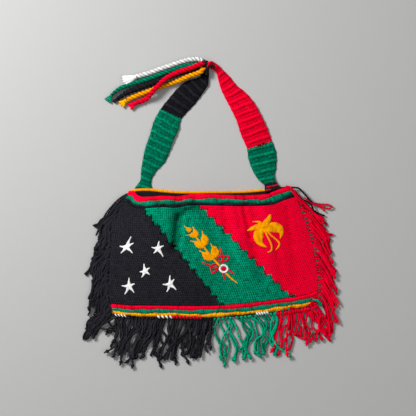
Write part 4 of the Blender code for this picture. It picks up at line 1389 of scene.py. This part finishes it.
def wander(plan, amount, rng):
    """Sideways waves along a strand's plan, none at its ends."""
    t = np.linspace(0, 1, len(plan))
    run = np.gradient(plan, axis=0)
    run /= np.maximum(np.linalg.norm(run, axis=1), 1e-6)[:, None]
    sway = np.sin(t * rng.uniform(4, 8) + rng.uniform(0, 6))
    sway += 0.2 * np.sin(t * rng.uniform(12, 20) + rng.uniform(0, 6))
    return plan + square(run) * (amount * sway * np.sin(math.pi * t) ** 0.7)[:, None]


def base_root(share):
    """Point and outward direction at a share of the base edge."""
    (near,), (far,) = along(BASE_EDGE, max(share - 0.01, 0)), along(BASE_EDGE, min(share + 0.01, 1))
    return along(BASE_EDGE, share)[0], -square(unit(far - near))


def tails(knot, run, spread, length, rng, radius, count):
    """Cut ends below a knot."""
    strands = []
    for k in range(count):
        ahead = turned(run, math.radians(spread * (2 * k / max(count - 1, 1) - 1) + rng.uniform(-12, 12)))
        reach = length * rng.uniform(0.7, 1.15)
        t = np.linspace(0, 1, 7)[:, None]
        plan = knot[:2] + ahead * reach * t + square(ahead) * rng.uniform(-1.6, 1.6) * t ** 2
        points = np.column_stack((plan, np.full(len(t), max(knot[2], 1.5))))
        strands.append((points, radius * np.linspace(1, 0.85, len(t))))
    return strands


def knot_and_tails(end, heading, radius, rng, length):
    """Small knot at the end of a strand, with one or two short cut ends below it."""
    return ([coil(end, (*heading, 0), radius * 0.9, radius * 0.9, 1.4, 3.0)]
            + tails(end, heading, 14, length, rng, radius * 0.9, rng.choice((1, 1, 2))))


# Where a strand comes out: how far outward, how high, and how thick for its yarn
Root = namedtuple("Root", "out z girth")
ROOT = rows_of(Root, (-2.2, 4.6, 0.8), (-0.6, 6, 1.15), (1.4, 5.6, 1.15), (3.2, 3.4, 0.9))


def root_loop(place, outward, radius):
    """Where a strand comes out under the last row, over the edge."""
    points = np.array([(*(place + outward * step.out), step.z) for step in ROOT])
    return points, radius * np.array([step.girth for step in ROOT])


def base_fringe(name, colour, slot, node, seed, wave_size, routes, bundles=()):
    """Fringe along the base: bundles of strands that swing alike, with small knots above their cut ends, and routes
    of strands that lie by themselves."""
    rng = random.Random(seed)
    radius = sizes().strand / MM / 2
    strands = []
    for bundle in bundles:
        total = bundle.knots * 2
        for i in range(total):
            share = bundle.start + (bundle.stop - bundle.start) * (i + 0.5 + rng.uniform(-0.2, 0.2)) / total
            place, outward = base_root(share)
            order = 2 * (i + 0.5) / total - 1
            end = np.array((bundle.tip_x + bundle.spread * (1.25 * order + rng.uniform(-0.35, 0.35)),
                            bundle.tip_y + 7 + bundle.spread * rng.uniform(-0.9, 0.9) + rng.choice((0, 0, 0, 14))))
            apart = end - place
            reach = np.linalg.norm(apart)
            bow = bundle.bow + rng.uniform(-0.5, 0.5) * wave_size
            lead = place + outward * reach * 0.40 + np.array((bow * 1.6, 0.0))
            back = end + np.array((-apart[0] * 0.30 - bow * 1.5, reach * 0.30))
            plan = bezier((place + outward, lead, back, end), np.linspace(0, 1, round(reach / ROUTE_STEP)))
            plan = wander(plan, rng.uniform(0.15, 0.45) * wave_size, rng)
            route = settle(plan, 3.6, rng)
            strands.append((route, radius))
            heading = unit(plan[-1] - plan[-6])
            if i % 2:
                strands.append(root_loop(place, outward, radius))
                strands += knot_and_tails(route[-1], heading, radius, rng, 6)
            else:
                strands += tails(route[-1], heading, 0, 5, rng, radius * 0.9, 1)
    for points in routes:
        plan = even_points(points, ROUTE_STEP)
        route = settle(plan, 3.6, rng)
        strands.append((route, radius * rng.uniform(0.88, 1.05)))
        strands.append(root_loop(plan[0], unit(plan[3] - plan[0]), radius))
        strands += knot_and_tails(route[-1], unit(plan[-1] - plan[-3]), radius, rng, 6)
    return add_piece(name, spin_strands(name, strands, colour, seed=seed), spun_finish(f"{name}_yarn"), slot, node)


SIDE_ROOTS = 30           # places along a side where strands come out


def side_fringe(name, edge, below, outer, colour, slot, node, seed, per_root, length, clear, swing, strays,
                combed=0.0):
    """Fringe down one side: strands stand out from the edge all the way down, then fall beside it, clear of it by a
    distance. Neighbours swing alike, in locks of three. Combed strands run straighter and all reach the outside.
    Strays are the routes of strands that lie by themselves."""
    rng = random.Random(seed)
    radius = sizes().strand / MM / 2 * (1 - 0.14 * combed)
    inner = edge[::-1] + below
    size = table_length(inner)
    edge_size = table_length(edge)
    strands = [(even_points(stray, ROUTE_STEP), radius * 0.85) for stray in strays]
    for i in range(SIDE_ROOTS):
        if i % 3 == 0:
            lock = (rng.uniform(0.6, 1.3), rng.uniform(36, 60), rng.uniform(0, math.tau))
        down = (0.04 + 0.93 * (i + rng.uniform(-0.28, 0.28)) / (SIDE_ROOTS - 1)) * edge_size / size
        for k in range(per_root):
            reach = min(length * rng.uniform(0.75, 1.12), (1.0 - down) * size + 8)
            far = (0.35 + 0.6 * k / max(per_root - 1, 1) + rng.uniform(-0.25, 0.15)) if reach > 20 else 0.6
            far = min(max(far, 0.12), 1.0)
            far = far + combed * (rng.uniform(0.80, 1.02) - far)
            count = max(12, round(reach / ROUTE_STEP))
            t = np.linspace(0, 1, count)
            gone = t * reach
            share = np.minimum(down + (gone - 6 * (1 - np.exp(-gone / 5))) / size, 1)
            near, wide = along(inner, share), along(outer, share)
            gap = np.linalg.norm(wide - near, axis=1)[:, None]
            beside = (wide - near) / np.maximum(gap, 1e-6)
            start = np.minimum(clear * rng.uniform(0.2, 1.35), gap * 0.8)
            drift = (1 - (1 - t) ** (1.6 - 0.5 * combed))[:, None]
            away = start + (far * gap - start) * drift + rng.uniform(-1.5, 3.5) * (t[:, None] ** 5)
            wave_out = lock[0] * swing * np.sin(gone / lock[1] * math.tau + lock[2] + k * 0.5)
            away = away + (wave_out * np.clip(gone / 14, 0, 1))[:, None]
            out = (1 - np.exp(-gone / 3.0))[:, None]
            plan = near + beside * (np.maximum(away, 1.0) * out - 2.0 * np.exp(-gone / 2.0)[:, None])
            route = settle(plan, 5.6, rng)
            strands.append((route, radius * np.interp(gone, (0, 6), (0.78, 1.0))))
            heading = unit(plan[-1] - plan[-6])
            if rng.random() < 0.45:
                strands += knot_and_tails(route[-1], heading, radius, rng, 5)
            else:
                strands += tails(route[-1], heading, 0, 5, rng, radius * 0.9, 1)
    return add_piece(name, spin_strands(name, strands, colour, seed=seed), spun_finish(f"{name}_yarn"), slot, node)


def loose_yarn():
    """Black ends that hang over the right end of the mouth."""
    strands = [(even_points(route, ROUTE_STEP), sizes().strand / MM * 0.42) for route in LOOSE_BLACK]
    return add_piece("loose_black_yarn", spin_strands("loose_black_yarn", strands, yarn("black"), seed=9),
                     spun_finish("loose_black_yarn"), "black_yarn")


# ---------------------------------------------------------------- stage
# Soft lights that face the bag's middle, in metres and watts
Lamp = namedtuple("Lamp", "name place power size")
LAMPS = rows_of(Lamp, ("key_light", (-1.4, 1.15, 1.3), 52, 0.6), ("fill_light", (1.2, -0.6, 1.9), 7, 1.6))
CAMERA_PLACE = (-0.0095, 0.0798, 3.0)
CAMERA_LENS, CAMERA_SENSOR = 136.6, 36.0
DAYLIGHT = 0.26           # strength of the even light from all round


def make_stage():
    """Pale floor, soft studio light, and the camera straight above."""
    shape = bmesh.new()
    bmesh.ops.create_grid(shape, x_segments=1, y_segments=1, size=4.0)
    data = bpy.data.meshes.new("floor")
    shape.to_mesh(data)
    shape.free()
    floor = bpy.data.objects.new("floor", data)
    material = bpy.data.materials.new("floor_paper")
    material.use_nodes = True
    tree = material.node_tree
    shader = tree.nodes["Principled BSDF"]
    shader.inputs["Roughness"].default_value = 0.9
    place = tree.nodes.new("ShaderNodeTexCoord").outputs["Object"]
    shade = maths(tree, "MULTIPLY_ADD", noise(tree, place, 40.0), 0.02, 0.99)
    tinted(tree, shader, tuple(bpy.context.scene.yarn_colours.floor), shade)
    data.materials.append(material)
    bpy.context.scene.collection.objects.link(floor)
    for lamp in LAMPS:
        light = bpy.data.lights.new(lamp.name, "AREA")
        light.energy, light.size = lamp.power, lamp.size
        holder = bpy.data.objects.new(lamp.name, light)
        holder.location = lamp.place
        holder.rotation_euler = (Vector((0, 0.08, 0)) - Vector(lamp.place)).to_track_quat("-Z", "Y").to_euler()
        bpy.context.scene.collection.objects.link(holder)
    world = bpy.data.worlds.new("studio")
    world.use_nodes = True
    background = world.node_tree.nodes["Background"]
    background.inputs["Color"].default_value = (1, 1, 1, 1)
    background.inputs["Strength"].default_value = DAYLIGHT
    bpy.context.scene.world = world
    bpy.context.scene.view_settings.view_transform = "Standard"
    data = bpy.data.cameras.new("camera")
    data.lens, data.sensor_width = CAMERA_LENS, CAMERA_SENSOR
    camera = bpy.data.objects.new("camera", data)
    camera.location = CAMERA_PLACE
    bpy.context.scene.collection.objects.link(camera)
    bpy.context.scene.camera = camera


# ---------------------------------------------------------------- the add-on's operators
class BILUM_OT_stage(bpy.types.Operator):
    """Lay the floor and set the lights and the camera"""
    bl_idname = "bilum.stage"
    bl_label = "Stage"

    def execute(self, context):
        make_stage()
        return {"FINISHED"}


class BILUM_OT_ties(bpy.types.Operator):
    """Twist the five tie cords, with their knots and cut ends"""
    bl_idname = "bilum.ties"
    bl_label = "Tie cords"

    def execute(self, context):
        make_ties()
        return {"FINISHED"}


class BILUM_OT_base_fringes(bpy.types.Operator):
    """Hang the black, green and red strands along the base"""
    bl_idname = "bilum.base_fringes"
    bl_label = "Base fringes"

    def execute(self, context):
        base_fringe("base_fringe_black", yarn("black") * 1.8, "black_yarn", "fringe_base_black", seed=21,
                    wave_size=10.0, routes=BLACK_STRANDS, bundles=BLACK_BUNDLES)
        base_fringe("base_fringe_green", yarn("green") * 2.5, "green_yarn", "fringe_base_green", seed=22,
                    wave_size=7.0, routes=GREEN_STRANDS)
        base_fringe("base_fringe_red", yarn("red") * 1.12, "red_yarn", "fringe_base_red", seed=23, wave_size=12.0,
                    routes=RED_STRANDS, bundles=RED_BUNDLES)
        make_edge_stitches()
        return {"FINISHED"}


class BILUM_OT_side_fringes(bpy.types.Operator):
    """Hang the black and red strands down both sides"""
    bl_idname = "bilum.side_fringes"
    bl_label = "Side fringes"

    def execute(self, context):
        side_fringe("side_fringe_left", LEFT_EDGE, LEFT_BELOW, LEFT_OUTER, yarn("black") * 1.7, "black_yarn",
                    "fringe_left", seed=31, per_root=3, length=92, clear=1.0, swing=3.0, strays=LEFT_STRAYS)
        side_fringe("side_fringe_right", RIGHT_EDGE, RIGHT_BELOW, RIGHT_OUTER, yarn("red") * 1.12, "red_yarn",
                    "fringe_right", seed=32, per_root=2, length=74, clear=5.4, swing=0.8, strays=RIGHT_STRAYS,
                    combed=0.8)
        loose_yarn()
        return {"FINISHED"}


class BILUM_OT_strap(bpy.types.Operator):
    """Crochet both legs of the strap, the cuff and the gathered neck"""
    bl_idname = "bilum.strap"
    bl_label = "Strap"

    def execute(self, context):
        left = make_leg("strap_leg_left", LEFT_STRAP, "black", LEFT_JOINT, "strap_left", "strap_left", seed=1,
                        angles=LEFT_RIDGES)
        right = make_leg("strap_leg_right", RIGHT_STRAP, "red", RIGHT_JOINT, "strap_right", "strap_right", seed=2,
                         angles=RIGHT_RIDGES)
        cuff = make_cuff()
        neck = make_neck()
        return {"FINISHED"}


class BILUM_OT_pouch(bpy.types.Operator):
    """Crochet the panels, their borders and the embroidery"""
    bl_idname = "bilum.pouch"
    bl_label = "Pouch"

    def execute(self, context):
        front, back = make_front(), make_back()
        mouth = make_border("mouth_rows", MOUTH_ROWS, down_from_rim(MOUTH_BORDER), down_from_rim(0), MOUTH_LENGTH,
                            "mouth_border", "mouth_border_front", waver=2.5)
        base = make_border("base_rows", BASE_ROWS, up_from_base(0), up_from_base(BASE_BORDER), BASE_LENGTH,
                           "base_border", "base_border", waver=1.5, ends=base_ends)
        back_row = make_back_border()
        embroidery = make_embroidery()
        return {"FINISHED"}


class BILUM_PT_bag(bpy.types.Panel):
    """Sizes, colours and pieces of the bag"""
    bl_idname = "BILUM_PT_bag"
    bl_label = "Bilum bag"
    bl_space_type = "VIEW_3D"
    bl_region_type = "UI"
    bl_category = "Bilum"

    def draw(self, context):
        layout = self.layout
        for group in (context.scene.bag_sizes, context.scene.yarn_colours):
            column = layout.column()
            for name in group.__annotations__:
                column.prop(group, name)
        for piece in OPERATORS:
            layout.operator(piece.bl_idname)


OPERATORS = (BILUM_OT_stage, BILUM_OT_ties, BILUM_OT_base_fringes, BILUM_OT_side_fringes, BILUM_OT_strap,
             BILUM_OT_pouch)
CLASSES = (BagSizes, YarnColours, *OPERATORS, BILUM_PT_bag)


def register():
    """Add the settings, operators and panel."""
    for item in CLASSES:
        bpy.utils.register_class(item)
    bpy.types.Scene.bag_sizes = bpy.props.PointerProperty(type=BagSizes)
    bpy.types.Scene.yarn_colours = bpy.props.PointerProperty(type=YarnColours)


def unregister():
    """Take the settings, operators and panel away."""
    del bpy.types.Scene.yarn_colours
    del bpy.types.Scene.bag_sizes
    for item in reversed(CLASSES):
        bpy.utils.unregister_class(item)


def main():
    """Build every piece in order."""
    register()
    bpy.ops.bilum.stage()
    bpy.ops.bilum.ties()
    bpy.ops.bilum.base_fringes()
    bpy.ops.bilum.side_fringes()
    bpy.ops.bilum.strap()
    bpy.ops.bilum.pouch()


if __name__ == "__main__":
    main()
